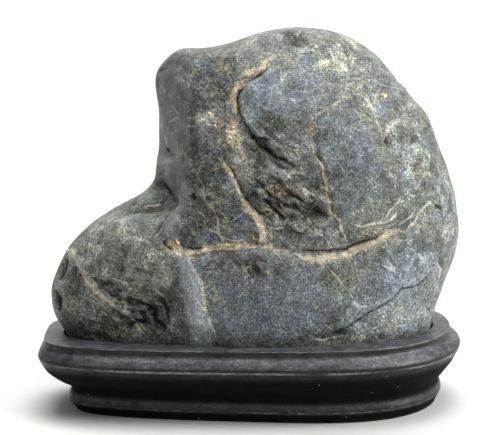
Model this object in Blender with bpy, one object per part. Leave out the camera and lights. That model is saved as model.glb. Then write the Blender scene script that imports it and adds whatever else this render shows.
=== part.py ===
"""A scholar's rock (suiseki) standing in its carved wooden stand (daiza).

Two objects: "stone", one natural stone, and "stand", one carved piece of wood whose seat is cut to
the stone's own foot. +X is to the right along the long side, +Z is up, and the front faces -Y. The
origin is the middle of the stand's underside. Sizes are in millimetres until the meshes are made.
"""
import math

import bmesh
import bpy
import numpy as np
from mathutils import Vector, noise

MM = 0.001

# ---- Stand: plan of its widest moulding, the nose --------------------------------------------------
STAND_HALF_LENGTH = 131.0
STAND_HALF_DEPTH = 68.0
STAND_DEPTH_GROWTH = 0.25        # the right end is deeper than the left end by this share
LEFT_END_SQUARENESS = 4.1        # superellipse exponents: a blunt left end, a rounder right end
RIGHT_END_SQUARENESS = 2.2
STAND_STATIONS = 84              # points around the plan

# ---- Stand: moulding, from the edge of the flat top to the edge of the underside -------------------
# (inset at the ends, inset along the sides, height, growth). Insets are measured from the nose, and
# are multiplied by 1 + growth at the right end and by 1 - growth at the left end.
RIM_TOP = 46.5
RIM_GROWTH = 0.23
WAIST_GROWTH = -0.17
MOULDING = (
    (5.5, 5.0, RIM_TOP, RIM_GROWTH),       # rim arris
    (5.3, 4.8, 42.2, RIM_GROWTH),          # foot of the upright rim band
    (2.6, 2.4, 39.8, RIM_GROWTH),          # cove
    (0.7, 0.7, 37.4, 0.0),
    (0.0, 0.0, 36.0, 0.0),                 # nose
    (0.5, 0.5, 33.8, 0.0),                 # lower arris of the nose
    (2.4, 2.3, 30.0, 0.0),                 # underside of the nose, down to the waist
    (4.4, 4.1, 26.4, 0.0),
    (7.4, 6.7, 23.0, -0.05),
    (11.4, 9.9, 19.2, -0.12),
    (15.4, 12.9, 16.0, WAIST_GROWTH),
    (16.6, 13.8, 13.5, WAIST_GROWTH),      # waist
    (16.0, 13.3, 11.0, WAIST_GROWTH),
    (15.1, 12.6, 8.8, WAIST_GROWTH),
    (15.0, 12.4, 6.7, WAIST_GROWTH),       # foot arris
    (17.2, 14.2, 3.2, WAIST_GROWTH),
    (19.2, 15.8, 0.0, WAIST_GROWTH),       # edge of the flat underside
)
SEAT_CLEARANCE = 0.7             # the seat is this much larger than the stone all round

# ---- Stone: outline seen square from the front, (x, z) around the middle ---------------------------
STONE_MIDDLE = Vector((20.0, 0.0, 120.0))
STONE_FOOT = 34.0                # height of the levelled foot, inside the seat
OUTLINE = (
    (130.0, 105.0), (129.0, 120.0), (124.5, 140.0), (117.0, 160.0), (109.5, 179.0), (100.0, 191.5),
    (90.0, 202.5), (80.0, 213.0), (70.0, 220.5), (60.0, 226.0), (50.0, 229.5), (36.0, 231.5),
    (20.0, 230.5), (0.0, 224.5), (-10.0, 221.5), (-25.0, 219.5), (-40.0, 218.5), (-46.5, 214.5),
    (-51.0, 209.5), (-54.0, 201.0), (-52.5, 185.0), (-53.0, 165.0), (-54.5, 150.0), (-57.5, 139.0),
    (-68.0, 130.0), (-86.5, 120.0), (-100.5, 110.0), (-109.5, 100.0), (-115.5, 90.0), (-120.0, 80.0),
    (-122.0, 70.0), (-121.5, 60.0), (-115.5, 48.0), (-98.0, 26.0), (-70.0, 8.0), (-30.0, -6.0),
    (20.0, -12.0), (64.0, -8.0), (94.0, 12.0), (108.0, 32.0), (116.0, 53.0), (121.5, 70.0),
    (128.5, 90.0),
)
# How far the stone reaches forward and back of the outline's plane: (x, z, front, back).
DEPTHS = (
    (20.0, 90.0, 60.0, 54.0), (40.0, 150.0, 58.0, 52.0), (30.0, 205.0, 50.0, 46.0),
    (85.0, 180.0, 52.0, 48.0), (95.0, 110.0, 58.0, 52.0), (100.0, 50.0, 54.0, 52.0),
    (20.0, 40.0, 60.0, 57.0), (-30.0, 200.0, 46.0, 40.0), (-25.0, 140.0, 50.0, 44.0),
    (-60.0, 110.0, 47.0, 42.0), (-95.0, 90.0, 46.0, 44.0), (-90.0, 45.0, 50.0, 49.0),
)
DEPTH_BLEND = 34.0               # how widely one of those depths is felt
EDGE_POWER = 2.4                 # how late and how roundly the depth falls off towards the outline
FALL_POWER = 2.2
# Worn flats: (outward direction, distance from the middle, roundness of the edge, lowest height).
FLATS = (
    ((-0.92, -0.39, 0.00), 65.6, 4.0, 162.0),     # cheek, the left side of the head
    ((-0.66, -0.38, 0.65), 103.0, 5.0, 160.0),    # top corner of the head
    ((0.30, -0.80, 0.52), 80.0, 6.0, 150.0),      # right shoulder
    ((-0.50, 0.86, 0.10), 60.0, 6.0, 160.0),      # back of the head
    ((0.55, 0.72, 0.42), 84.0, 6.0, 150.0),       # back of the right shoulder
    ((-0.10, 0.80, 0.59), 84.0, 6.0, 170.0),      # back of the crown
)
FLAT_FADE = 55.0                 # below its lowest height a flat runs out over this height
FLAT_RELEASE = 100.0             # and moves out by this much
FOOT_ROUNDNESS = 5.0

# ---- Stone: relief of the front, drawn on an upright sheet through the stand's middle ---------------
# A point of the sheet is carried to the stone along the straight line from the viewing point.
SHEET_MIDDLE = Vector((2.0, 0.0, 115.0))
VIEW_DISTANCE = 1100.0
VIEW_ELEVATION = math.radians(10.5)
DOME_STEP = (
    (17.0, 98.0), (14.0, 94.0), (13.0, 90.0), (11.0, 86.5), (5.0, 84.0), (0.0, 80.0), (-5.0, 75.0),
    (-5.5, 66.0), (-3.5, 61.0), (0.0, 56.0), (3.0, 50.5), (8.0, 45.0), (14.0, 41.0), (20.0, 37.0),
    (25.0, 33.5), (31.0, 31.0),
)
MAIN_LEDGE = (
    (-52.0, -13.0), (-49.0, -18.0), (-41.0, -21.0), (-30.0, -20.5), (-15.0, -18.0), (5.0, -18.5),
    (20.0, -21.0), (30.0, -23.5), (40.0, -26.0), (52.0, -25.0), (60.0, -22.5), (70.0, -18.5),
    (80.0, -13.5), (90.0, -10.0), (97.5, -7.0), (103.0, -1.0), (108.0, 5.0),
)
CROSS_VEIN = (
    (-16.0, 34.0), (-12.0, 28.5), (-8.0, 21.5), (-5.0, 15.0), (-2.5, 8.0), (0.0, 3.5), (4.0, -0.5),
    (7.0, -6.0), (7.0, -11.5), (4.5, -15.0),
)
THIN_VEIN = (
    (60.0, 71.5), (55.0, 69.5), (50.0, 66.0), (45.0, 62.5), (39.0, 57.0), (37.5, 52.0), (39.5, 45.0),
    (41.0, 39.0), (45.0, 31.0), (46.5, 21.0), (49.0, 10.5), (51.5, -0.5), (54.5, -5.0), (59.0, -14.0),
)
NECK_BAND = ((-36.5, 42.0), (-36.5, 22.0), (-38.0, 13.0), (-43.0, 5.0), (-49.0, -4.0), (-54.0, -11.0))
NECK_VALLEY = ((-60.0, 25.0), (-54.0, 20.0), (-50.0, 14.0), (-46.0, 8.0), (-43.0, 3.5))
TOE_FOLD = ((-86.0, 4.0), (-76.0, 5.0), (-60.0, 5.5), (-47.0, 6.0))
TOE_CREST = (
    (-110.0, -18.0), (-105.5, -23.0), (-102.5, -29.0), (-99.5, -36.0), (-92.0, -44.0), (-84.5, -52.0),
    (-75.5, -62.0), (-68.0, -68.0),
)
TOE_BROW = ((-80.0, -33.5), (-71.0, -35.5), (-62.0, -37.5), (-56.0, -42.0), (-51.0, -46.0))
SHIN_BAND = ((-41.5, -25.0), (-36.0, -38.0), (-34.5, -50.0), (-31.5, -61.0), (-28.0, -72.0))
FOOT_CRACK = (
    (50.0, -74.0), (55.0, -71.5), (61.0, -67.5), (68.0, -63.0), (73.0, -60.0), (76.0, -57.0),
    (81.5, -53.5), (86.5, -52.0), (91.0, -46.5), (97.0, -47.0), (103.0, -44.5), (107.5, -39.5),
)
ROUGH_RIDGES = (
    ((-3.0, 24.0), (6.0, 16.0), (17.0, 9.0), (27.0, 5.0)),
    ((8.0, 33.0), (19.0, 24.0), (31.0, 17.0), (42.0, 12.0)),
    ((12.0, 0.0), (23.0, -5.0), (33.0, -9.0), (43.0, -14.0)),
)
# Ledges: (line, side that stands proud, height, sharpness, reach).
LEDGES = (
    (DOME_STEP, 1.0, 4.0, 2.0, 13.0),
    (MAIN_LEDGE, -1.0, 3.4, 1.8, 22.0),
    (CROSS_VEIN, -1.0, 2.6, 1.6, 16.0),
    (TOE_CREST, 1.0, 3.4, 2.0, 16.0),
    (FOOT_CRACK, 1.0, 3.0, 1.6, 16.0),
    (TOE_BROW, 1.0, 4.0, 2.6, 18.0),
)
# Grooves and ridges: (line, height, half width).
CREASES = (
    (DOME_STEP, -1.8, 3.2), (MAIN_LEDGE, -1.8, 3.4), (CROSS_VEIN, -1.6, 3.0), (THIN_VEIN, -1.5, 3.0),
    (NECK_VALLEY, -3.4, 7.5), (TOE_FOLD, -2.0, 4.5), (NECK_BAND, 3.2, 5.0), (SHIN_BAND, 3.6, 5.5),
    (FOOT_CRACK, -2.4, 3.2), (ROUGH_RIDGES[0], 2.0, 3.6), (ROUGH_RIDGES[1], 2.2, 4.2),
    (ROUGH_RIDGES[2], 1.8, 4.0), (TOE_CREST, 1.6, 3.0),
)
# Hollows and lumps: (middle, half width, half height, height).
HOLLOWS = (
    ((-65.0, -57.0), 22.0, 13.0, -7.5),    # under the toe's brow
    ((-41.0, -9.0), 10.0, 9.0, -5.0),      # inside the neck's band
    ((22.0, 7.0), 30.0, 20.0, -3.5),       # rough ground between the dome and the lower body
    ((31.0, 109.0), 7.0, 4.5, -4.0),       # pit on the crown
    ((85.5, 43.5), 5.0, 5.0, -2.5),
    ((51.5, -74.0), 6.0, 4.0, -5.0),       # pit at the seat
    ((-116.0, -28.0), 4.5, 8.0, -3.5),     # pockets at the end of the toe
    ((-119.0, -49.0), 4.0, 7.0, -3.0),
    ((32.0, 68.0), 36.0, 30.0, 3.2),       # fullness of the dome
    ((-27.0, 20.0), 11.0, 14.0, 2.5),      # swelling right of the neck's band
    ((-86.0, -24.0), 16.0, 14.0, 2.5),     # knuckle above the toe's hollow
    ((-50.0, -62.0), 8.0, 7.0, 2.5),       # knob beside the toe's hollow
    ((70.0, 30.0), 30.0, 34.0, 3.0),       # fullness of the right flank
    ((8.0, -50.0), 34.0, 20.0, 2.5),       # fullness of the lower body
    ((79.0, -33.0), 14.0, 8.0, -3.0),      # dent in the right flank
)

# ---- Stone: relief of the back, drawn as (x, z) -----------------------------------------------------
BACK_WANDER = (6.0, 26.0)        # the lines of the back wander by this much over this length
BACK_LEDGES = (
    (((-46.0, 172.0), (-18.0, 156.0), (12.0, 158.0), (48.0, 143.0), (88.0, 152.0)), -1.0, 4.0, 2.4, 20.0),
    (((-106.0, 80.0), (-66.0, 90.0), (-30.0, 78.0), (10.0, 82.0), (44.0, 70.0)), -1.0, 3.6, 2.4, 18.0),
    (((66.0, 212.0), (50.0, 188.0), (56.0, 162.0), (46.0, 134.0)), 1.0, 3.0, 2.4, 16.0),
    (((-92.0, 112.0), (-78.0, 96.0), (-82.0, 76.0), (-70.0, 58.0)), 1.0, 2.6, 2.4, 12.0),
)
BACK_CREASES = (
    (((94.0, 148.0), (80.0, 120.0), (92.0, 92.0), (84.0, 60.0)), -3.0, 4.5),
    (((-44.0, 190.0), (-24.0, 206.0), (4.0, 200.0)), -2.4, 4.5),
    (((-10.0, 130.0), (4.0, 110.0), (-6.0, 92.0)), 2.6, 6.0),
    (((-52.0, 136.0), (-62.0, 118.0), (-56.0, 102.0)), -3.0, 6.5),
)
BACK_HOLLOWS = (
    ((34.0, 112.0), 20.0, 16.0, -4.5), ((104.0, 118.0), 12.0, 18.0, -3.0),
    ((-84.0, 60.0), 18.0, 12.0, -3.0), ((-20.0, 126.0), 16.0, 20.0, 3.0),
    ((64.0, 90.0), 18.0, 14.0, 3.0), ((10.0, 190.0), 22.0, 14.0, 2.6),
)

# ---- Stone: unevenness all over, (height, size of a lump) ------------------------------------------
SWELLS = ((2.2, 46.0), (1.5, 21.0), (0.8, 11.0))
SEED_SHIFT = Vector((3.7, 11.1, 5.3))
STONE_BALL_SUBDIVISIONS = 7
STONE_TRIANGLES = 6200


def smoothstep(low, high, value):
    """0 below low, 1 above high, and a smooth ramp between."""
    share = np.clip((value - low) / (high - low), 0.0, 1.0)
    return share * share * (3.0 - 2.0 * share)


def smooth_lower(first, second, roundness):
    """The lower of two values, rounded over where they meet."""
    blend = np.clip(0.5 + 0.5 * (second - first) / roundness, 0.0, 1.0)
    return second + (first - second) * blend - roundness * blend * (1.0 - blend)


# ---- Line tools -------------------------------------------------------------------------------------
def line_distance(spots, line):
    """Signed distance from each spot to an open line, and how far from the line's ends it falls.

    The sign is + on the left of the line's direction. The ends fade over a sixth of its length.
    """
    knots = np.array(line)
    lengths = np.linalg.norm(np.diff(knots, axis=0), axis=1)
    starts = np.concatenate(([0.0], np.cumsum(lengths)))
    nearest = np.full(len(spots), np.inf)
    side = np.ones(len(spots))
    along = np.zeros(len(spots))
    for index, length in enumerate(lengths):
        step = (knots[index + 1] - knots[index]) / length
        offset = spots - knots[index]
        travel = np.clip(offset @ step, 0.0, length)
        gap = np.linalg.norm(offset - travel[:, None] * step, axis=1)
        closer = gap < nearest
        nearest[closer] = gap[closer]
        cross = step[0] * offset[:, 1] - step[1] * offset[:, 0]
        side[closer] = np.sign(cross[closer])
        along[closer] = (starts[index] + travel)[closer]
    share = along / starts[-1]
    fade = smoothstep(0.0, 0.16, share) * smoothstep(0.0, 0.16, 1.0 - share)
    return nearest * side, fade


def relief(spots, ledges, creases, hollows):
    """Height that the drawn ledges, creases and hollows add at each spot of a sheet."""
    height = np.zeros(len(spots))
    for line, proud_side, rise, sharpness, reach in ledges:
        distance, fade = line_distance(spots, line)
        proud = distance * proud_side
        shape = (0.5 + 0.5 * np.tanh(proud / sharpness)) * np.exp(-np.maximum(proud, 0.0) / reach)
        height += rise * fade * shape
    for line, rise, half_width in creases:
        distance, fade = line_distance(spots, line)
        height += rise * fade * np.exp(-(distance / half_width) ** 2)
    for middle, half_width, half_height, rise in hollows:
        offset = (spots - np.array(middle)) / np.array((half_width, half_height))
        height += rise * np.exp(-np.sum(offset ** 2, axis=1))
    return height


# ---- Stone ------------------------------------------------------------------------------------------
def outline_radius(angles):
    """Distance from the stone's middle to its outline, in each direction of the outline's plane."""
    knots = np.array(OUTLINE) - np.array((STONE_MIDDLE.x, STONE_MIDDLE.z))
    turns = np.unwrap(np.arctan2(knots[:, 1], knots[:, 0]))
    radii = np.linalg.norm(knots, axis=1)
    turns = np.concatenate((turns - 2.0 * math.pi, turns, turns + 2.0 * math.pi))
    radii = np.tile(radii, 3)
    slopes = np.gradient(radii, turns)
    index = np.clip(np.searchsorted(turns, angles) - 1, 0, len(turns) - 2)
    span = turns[index + 1] - turns[index]
    share = (angles - turns[index]) / span
    return ((1.0 + 2.0 * share) * (1.0 - share) ** 2 * radii[index]
            + share * (1.0 - share) ** 2 * span * slopes[index]
            + share ** 2 * (3.0 - 2.0 * share) * radii[index + 1]
            + share ** 2 * (share - 1.0) * span * slopes[index + 1])


def depth_at(across, up, is_back):
    """Depth of the stone's full body at a place of the outline's plane, on one side of it."""
    total = np.zeros(len(across))
    weights = np.full(len(across), 1e-9)
    for x, z, front, back in DEPTHS:
        weight = np.exp(-((across - x) ** 2 + (up - z) ** 2) / (2.0 * DEPTH_BLEND ** 2))
        total += weight * np.where(is_back, back, front)
        weights += weight
    return total / weights


def stone_reach(directions):
    """Distance from the stone's middle to its plain form in each direction."""
    flat_length = np.hypot(directions[:, 0], directions[:, 2])
    edge = outline_radius(np.arctan2(directions[:, 2], directions[:, 0]))
    farthest = edge / np.maximum(flat_length, 1e-6)
    low = np.zeros(len(directions))
    high = np.minimum(farthest, 400.0)
    is_back = directions[:, 1] > 0.0
    for _ in range(34):
        middle = 0.5 * (low + high)
        place = directions * middle[:, None]
        share = np.minimum(middle * flat_length / edge, 1.0)
        depth = depth_at(place[:, 0] + STONE_MIDDLE.x, place[:, 2] + STONE_MIDDLE.z, is_back)
        body = depth * (1.0 - share ** EDGE_POWER) ** (1.0 / FALL_POWER)
        inside = np.abs(place[:, 1]) < body
        low = np.where(inside, middle, low)
        high = np.where(inside, high, middle)
    reach = low
    heights = STONE_MIDDLE.z + reach * directions[:, 2]
    for direction, distance, roundness, lowest in FLATS:
        facing = directions @ np.array(Vector(direction).normalized())
        cut = np.where(facing > 0.05, distance / np.maximum(facing, 0.05), 1000.0)
        cut += FLAT_RELEASE * (1.0 - smoothstep(lowest - FLAT_FADE, lowest, heights))
        reach = smooth_lower(reach, cut, roundness)
    drop = np.maximum(-directions[:, 2], 0.05)
    foot = np.where(directions[:, 2] < -0.05, (STONE_MIDDLE.z - STONE_FOOT) / drop, 1000.0)
    return smooth_lower(reach, foot, FOOT_ROUNDNESS)


def sheet_spots(places):
    """Where the straight lines from the viewing point to the places cross the upright sheet."""
    back = Vector((0.0, -math.cos(VIEW_ELEVATION), math.sin(VIEW_ELEVATION)))
    up = Vector((0.0, math.sin(VIEW_ELEVATION), math.cos(VIEW_ELEVATION)))
    offset = places - np.array(SHEET_MIDDLE)
    scale = VIEW_DISTANCE / (VIEW_DISTANCE - offset @ np.array(back))
    return np.column_stack((offset[:, 0] * scale, offset @ np.array(up) * scale))


def wandered(spots, reach, size):
    """The spots of a sheet moved about, so that what is drawn there runs unevenly."""
    sideways = [noise.noise(Vector((x / size, y / size, 2.5))) for x, y in spots]
    upward = [noise.noise(Vector((x / size, y / size, 8.5))) for x, y in spots]
    return spots + reach * np.column_stack((sideways, upward))


def swells(places):
    """Gentle unevenness of the whole surface."""
    height = np.zeros(len(places))
    for rise, size in SWELLS:
        values = [noise.noise(Vector(place) / size + SEED_SHIFT) for place in places]
        height += rise * np.array(values)
    return height


def stone_mesh():
    """The stone as a dense closed mesh in metres."""
    work = bmesh.new()
    bmesh.ops.create_icosphere(work, subdivisions=STONE_BALL_SUBDIVISIONS, radius=1.0)
    directions = np.array([vert.co[:] for vert in work.verts])
    places = directions * stone_reach(directions)[:, None] + np.array(STONE_MIDDLE)
    for vert, place in zip(work.verts, places):
        vert.co = place
    work.normal_update()
    normals = np.array([vert.normal[:] for vert in work.verts])
    to_front = smoothstep(0.05, 0.45, -normals[:, 1])
    to_back = smoothstep(0.05, 0.45, normals[:, 1])
    above_foot = smoothstep(STONE_FOOT + 3.0, STONE_FOOT + 12.0, places[:, 2])
    height = to_front * relief(sheet_spots(places), LEDGES, CREASES, HOLLOWS)
    back_spots = wandered(places[:, [0, 2]], *BACK_WANDER)
    height += to_back * relief(back_spots, BACK_LEDGES, BACK_CREASES, BACK_HOLLOWS)
    height += swells(places)
    places += normals * (height * above_foot)[:, None]
    for vert, place in zip(work.verts, places):
        vert.co = Vector(place) * MM
    mesh = bpy.data.meshes.new("stone")
    work.to_mesh(mesh)
    work.free()
    return mesh


def reduced(mesh, triangles):
    """The mesh with its triangles merged, most of all where it is nearly flat."""
    holder = bpy.data.objects.new("reduce", mesh)
    bpy.context.collection.objects.link(holder)
    merge = holder.modifiers.new("reduce", "DECIMATE")
    merge.ratio = triangles / len(mesh.polygons)
    merge.use_collapse_triangulate = True
    bpy.context.view_layer.update()
    evaluated = holder.evaluated_get(bpy.context.evaluated_depsgraph_get())
    result = bpy.data.meshes.new_from_object(evaluated)
    bpy.data.objects.remove(holder)
    return result


# ---- Stand ------------------------------------------------------------------------------------------
def nose_plan():
    """Points of the widest moulding, as shares of its half length and of its half depth there."""
    shares = []
    for index in range(STAND_STATIONS):
        turn = 2.0 * math.pi * index / STAND_STATIONS
        blunt = 0.5 - 0.5 * math.cos(turn)
        power = RIGHT_END_SQUARENESS + (LEFT_END_SQUARENESS - RIGHT_END_SQUARENESS) * blunt
        scale = (abs(math.cos(turn)) ** power + abs(math.sin(turn)) ** power) ** (-1.0 / power)
        shares.append((scale * math.cos(turn), scale * math.sin(turn)))
    return shares


def stand_mesh():
    """The stand's moulding swept round its plan and closed flat above and below, in metres."""
    work = bmesh.new()
    loops = []
    for end_inset, side_inset, height, growth in MOULDING:
        loop = []
        for along, across in nose_plan():
            spread = 1.0 + growth * along
            half_depth = STAND_HALF_DEPTH * (1.0 + STAND_DEPTH_GROWTH * along)
            x = along * (STAND_HALF_LENGTH - end_inset * spread)
            y = across * (half_depth - side_inset * spread)
            loop.append(work.verts.new(Vector((x, y, height)) * MM))
        loops.append(loop)
    for upper, lower in zip(loops, loops[1:]):
        for index in range(STAND_STATIONS):
            following = (index + 1) % STAND_STATIONS
            work.faces.new((upper[index], lower[index], lower[following], upper[following]))
    work.faces.new(loops[0])
    work.faces.new(reversed(loops[-1]))
    bmesh.ops.recalc_face_normals(work, faces=work.faces)
    mesh = bpy.data.meshes.new("stand")
    work.to_mesh(mesh)
    work.free()
    return mesh


def seat_cutter(stone):
    """A copy of the stone grown by the seat's clearance, hidden, for cutting the seat."""
    mesh = stone.data.copy()
    work = bmesh.new()
    work.from_mesh(mesh)
    work.normal_update()
    for vert in work.verts:
        vert.co += vert.normal * SEAT_CLEARANCE * MM
    work.to_mesh(mesh)
    work.free()
    cutter = bpy.data.objects.new("seat_cutter", mesh)
    bpy.context.collection.objects.link(cutter)
    cutter.hide_render = True
    cutter.display_type = "WIRE"
    return cutter


def finish(colour, roughness, name):
    """A plain material."""
    material = bpy.data.materials.new(name)
    material.use_nodes = True
    shader = material.node_tree.nodes["Principled BSDF"]
    shader.inputs["Base Color"].default_value = (*colour, 1.0)
    shader.inputs["Roughness"].default_value = roughness
    shader.inputs["Metallic"].default_value = 0.0
    return material


def place_object(name, mesh, material, smooth_below):
    """An object of the mesh, shaded smooth except over sharp edges."""
    thing = bpy.data.objects.new(name, mesh)
    bpy.context.collection.objects.link(thing)
    mesh.materials.clear()
    mesh.materials.append(material)
    mesh.shade_smooth()
    mesh.set_sharp_from_angle(angle=math.radians(smooth_below))
    return thing


def main():
    for thing in list(bpy.data.objects):
        bpy.data.objects.remove(thing)
    rock = finish((0.105, 0.115, 0.095), 0.55, "grey_green_stone")
    lacquer = finish((0.012, 0.011, 0.011), 0.38, "black_lacquered_wood")
    stone = place_object("stone", reduced(stone_mesh(), STONE_TRIANGLES), rock, 50.0)
    stand = place_object("stand", stand_mesh(), lacquer, 35.0)
    seat = stand.modifiers.new("seat", "BOOLEAN")
    seat.operation = "DIFFERENCE"
    seat.solver = "EXACT"
    seat.object = seat_cutter(stone)


main()
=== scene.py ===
"""The looks of a scholar's rock (suiseki) in its carved wooden stand (daiza).

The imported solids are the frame. Two pieces stand for them: a finely modelled stone surface and a
finely carved stand. Both follow the solids' own forms, repeated here from the same dimensions. The
stone's ledges, creases and pockets are shallower and crisper than in the solids. Both pieces add what
the solids leave out: veins, cracks, chips, grain, knife marks and worn edges. Sizes are in millimetres
until the meshes are made, unless a section says otherwise; +X is right, -Y is the front, +Z is up.
"""

import math
from collections import namedtuple
from types import SimpleNamespace

import bmesh
import bpy
import numpy as np
from mathutils import Matrix, Vector, noise


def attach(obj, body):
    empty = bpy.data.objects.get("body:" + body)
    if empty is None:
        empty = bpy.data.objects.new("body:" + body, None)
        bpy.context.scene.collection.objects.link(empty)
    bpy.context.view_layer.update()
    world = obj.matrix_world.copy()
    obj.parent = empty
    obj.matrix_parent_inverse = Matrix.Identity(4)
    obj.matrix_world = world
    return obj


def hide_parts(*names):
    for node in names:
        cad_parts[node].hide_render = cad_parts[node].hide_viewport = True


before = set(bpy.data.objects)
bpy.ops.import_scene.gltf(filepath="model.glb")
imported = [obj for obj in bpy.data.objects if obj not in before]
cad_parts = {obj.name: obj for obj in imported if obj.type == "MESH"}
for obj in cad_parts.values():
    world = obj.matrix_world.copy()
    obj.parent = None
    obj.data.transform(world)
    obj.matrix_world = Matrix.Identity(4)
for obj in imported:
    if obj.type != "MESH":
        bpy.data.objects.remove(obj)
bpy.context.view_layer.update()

MM = 0.001

# ---- Form of the stone, as in the solids ------------------------------------------------------------
STONE_MIDDLE = Vector((20.0, 0.0, 120.0))
STONE_FOOT = 34.0
OUTLINE = (
    (130.0, 105.0), (129.0, 120.0), (124.5, 140.0), (117.0, 160.0), (109.5, 179.0), (100.0, 191.5),
    (90.0, 202.5), (80.0, 213.0), (70.0, 220.5), (60.0, 226.0), (50.0, 229.5), (36.0, 231.5),
    (20.0, 230.5), (0.0, 224.5), (-10.0, 221.5), (-25.0, 219.5), (-40.0, 218.5), (-46.5, 214.5),
    (-51.0, 209.5), (-54.0, 201.0), (-52.5, 185.0), (-53.0, 165.0), (-54.5, 150.0), (-57.5, 139.0),
    (-68.0, 130.0), (-86.5, 120.0), (-100.5, 110.0), (-109.5, 100.0), (-115.5, 90.0), (-120.0, 80.0),
    (-122.0, 70.0), (-121.5, 60.0), (-115.5, 48.0), (-98.0, 26.0), (-70.0, 8.0), (-30.0, -6.0),
    (20.0, -12.0), (64.0, -8.0), (94.0, 12.0), (108.0, 32.0), (116.0, 53.0), (121.5, 70.0),
    (128.5, 90.0),
)
# (x, z, depth in front, depth behind) at places of the outline's plane
DEPTHS = (
    (20.0, 90.0, 60.0, 54.0), (40.0, 150.0, 58.0, 52.0), (30.0, 205.0, 50.0, 46.0),
    (85.0, 180.0, 52.0, 48.0), (95.0, 110.0, 58.0, 52.0), (100.0, 50.0, 54.0, 52.0),
    (20.0, 40.0, 60.0, 57.0), (-30.0, 200.0, 46.0, 40.0), (-25.0, 140.0, 50.0, 44.0),
    (-60.0, 110.0, 47.0, 42.0), (-95.0, 90.0, 46.0, 44.0), (-90.0, 45.0, 50.0, 49.0),
)
DEPTH_BLEND = 34.0
EDGE_POWER = 2.4
FALL_POWER = 2.2
# (direction it faces, distance, roundness, height above which it cuts in full)
FLATS = (
    ((-0.92, -0.39, 0.00), 65.6, 4.0, 162.0),
    ((-0.66, -0.38, 0.65), 103.0, 5.0, 160.0),
    ((0.30, -0.80, 0.52), 80.0, 6.0, 150.0),
    ((-0.50, 0.86, 0.10), 60.0, 6.0, 160.0),
    ((0.55, 0.72, 0.42), 84.0, 6.0, 150.0),
    ((-0.10, 0.80, 0.59), 84.0, 6.0, 170.0),
)
FLAT_FADE = 55.0
FLAT_RELEASE = 100.0
FOOT_ROUNDNESS = 5.0
SWELLS = ((2.2, 46.0), (1.5, 21.0), (0.8, 11.0))     # (rise, size)
SMALL_SWELL = 30.0               # swells below this size fade towards the silhouette
EDGE_BREADTH = 0.4               # how far towards the eye a point may face and still count as edge
EDGE_DAMPING = 0.7
FINE_EDGE_DAMPING = 0.6
SEED_SHIFT = Vector((3.7, 11.1, 5.3))

# ---- The upright sheet on which the front is drawn, and the photograph's view of it ------------------
SHEET_MIDDLE = Vector((2.0, 0.0, 115.0))
VIEW_DISTANCE = 1100.0
VIEW_ELEVATION = math.radians(10.5)
VIEW_ROLL = math.radians(1.4)
PHOTO_WIDTH = 500
PHOTO_CENTRE = (250.0, 217.5)
PHOTO_SCALE = 1.624              # photograph pixels per millimetre of the sheet
SENSOR_WIDTH = 36.0
TO_EYE = Vector((0.0, -math.cos(VIEW_ELEVATION), math.sin(VIEW_ELEVATION)))
SHEET_UP = Vector((0.0, math.sin(VIEW_ELEVATION), math.cos(VIEW_ELEVATION)))


def drawn(*pixels):
    """Photograph pixels as spots of the sheet."""
    spots = []
    for x, y in pixels:
        right = x - PHOTO_CENTRE[0]
        up = PHOTO_CENTRE[1] - y
        spots.append((
            (right * math.cos(VIEW_ROLL) + up * math.sin(VIEW_ROLL)) / PHOTO_SCALE,
            (up * math.cos(VIEW_ROLL) - right * math.sin(VIEW_ROLL)) / PHOTO_SCALE,
        ))
    return tuple(spots)


# Lines of the front, from the solids' own drawing.
DOME_STEP = (
    (17.0, 98.0), (14.0, 94.0), (13.0, 90.0), (11.0, 86.5), (5.0, 84.0), (0.0, 80.0), (-5.0, 75.0),
    (-5.5, 66.0), (-3.5, 61.0), (0.0, 56.0), (3.0, 50.5), (8.0, 45.0), (14.0, 41.0), (20.0, 37.0),
    (25.0, 33.5), (31.0, 31.0),
)
MAIN_LEDGE = (
    (-52.0, -13.0), (-49.0, -18.0), (-41.0, -21.0), (-30.0, -20.5), (-15.0, -18.0), (5.0, -18.5),
    (20.0, -21.0), (30.0, -23.5), (40.0, -26.0), (52.0, -25.0), (60.0, -22.5), (70.0, -18.5),
    (80.0, -13.5), (90.0, -10.0), (97.5, -7.0), (103.0, -1.0), (108.0, 5.0),
)
CROSS_VEIN = (
    (-16.0, 34.0), (-12.0, 28.5), (-8.0, 21.5), (-5.0, 15.0), (-2.5, 8.0), (0.0, 3.5), (4.0, -0.5),
    (7.0, -6.0), (7.0, -11.5), (4.5, -15.0),
)
THIN_VEIN = (
    (60.0, 71.5), (55.0, 69.5), (50.0, 66.0), (45.0, 62.5), (39.0, 57.0), (37.5, 52.0), (39.5, 45.0),
    (41.0, 39.0), (45.0, 31.0), (46.5, 21.0), (49.0, 10.5), (51.5, -0.5), (54.5, -5.0), (59.0, -14.0),
)
NECK_BAND = ((-36.5, 42.0), (-36.5, 22.0), (-38.0, 13.0), (-43.0, 5.0), (-49.0, -4.0), (-54.0, -11.0))
NECK_VALLEY = ((-60.0, 25.0), (-54.0, 20.0), (-50.0, 14.0), (-46.0, 8.0), (-43.0, 3.5))
TOE_FOLD = ((-86.0, 4.0), (-76.0, 5.0), (-60.0, 5.5), (-47.0, 6.0))
TOE_CREST = (
    (-110.0, -18.0), (-105.5, -23.0), (-102.5, -29.0), (-99.5, -36.0), (-92.0, -44.0), (-84.5, -52.0),
    (-75.5, -62.0), (-68.0, -68.0),
)
TOE_BROW = ((-80.0, -33.5), (-71.0, -35.5), (-62.0, -37.5), (-56.0, -42.0), (-51.0, -46.0))
SHIN_BAND = ((-41.5, -25.0), (-36.0, -38.0), (-34.5, -50.0), (-31.5, -61.0), (-28.0, -72.0))
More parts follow.
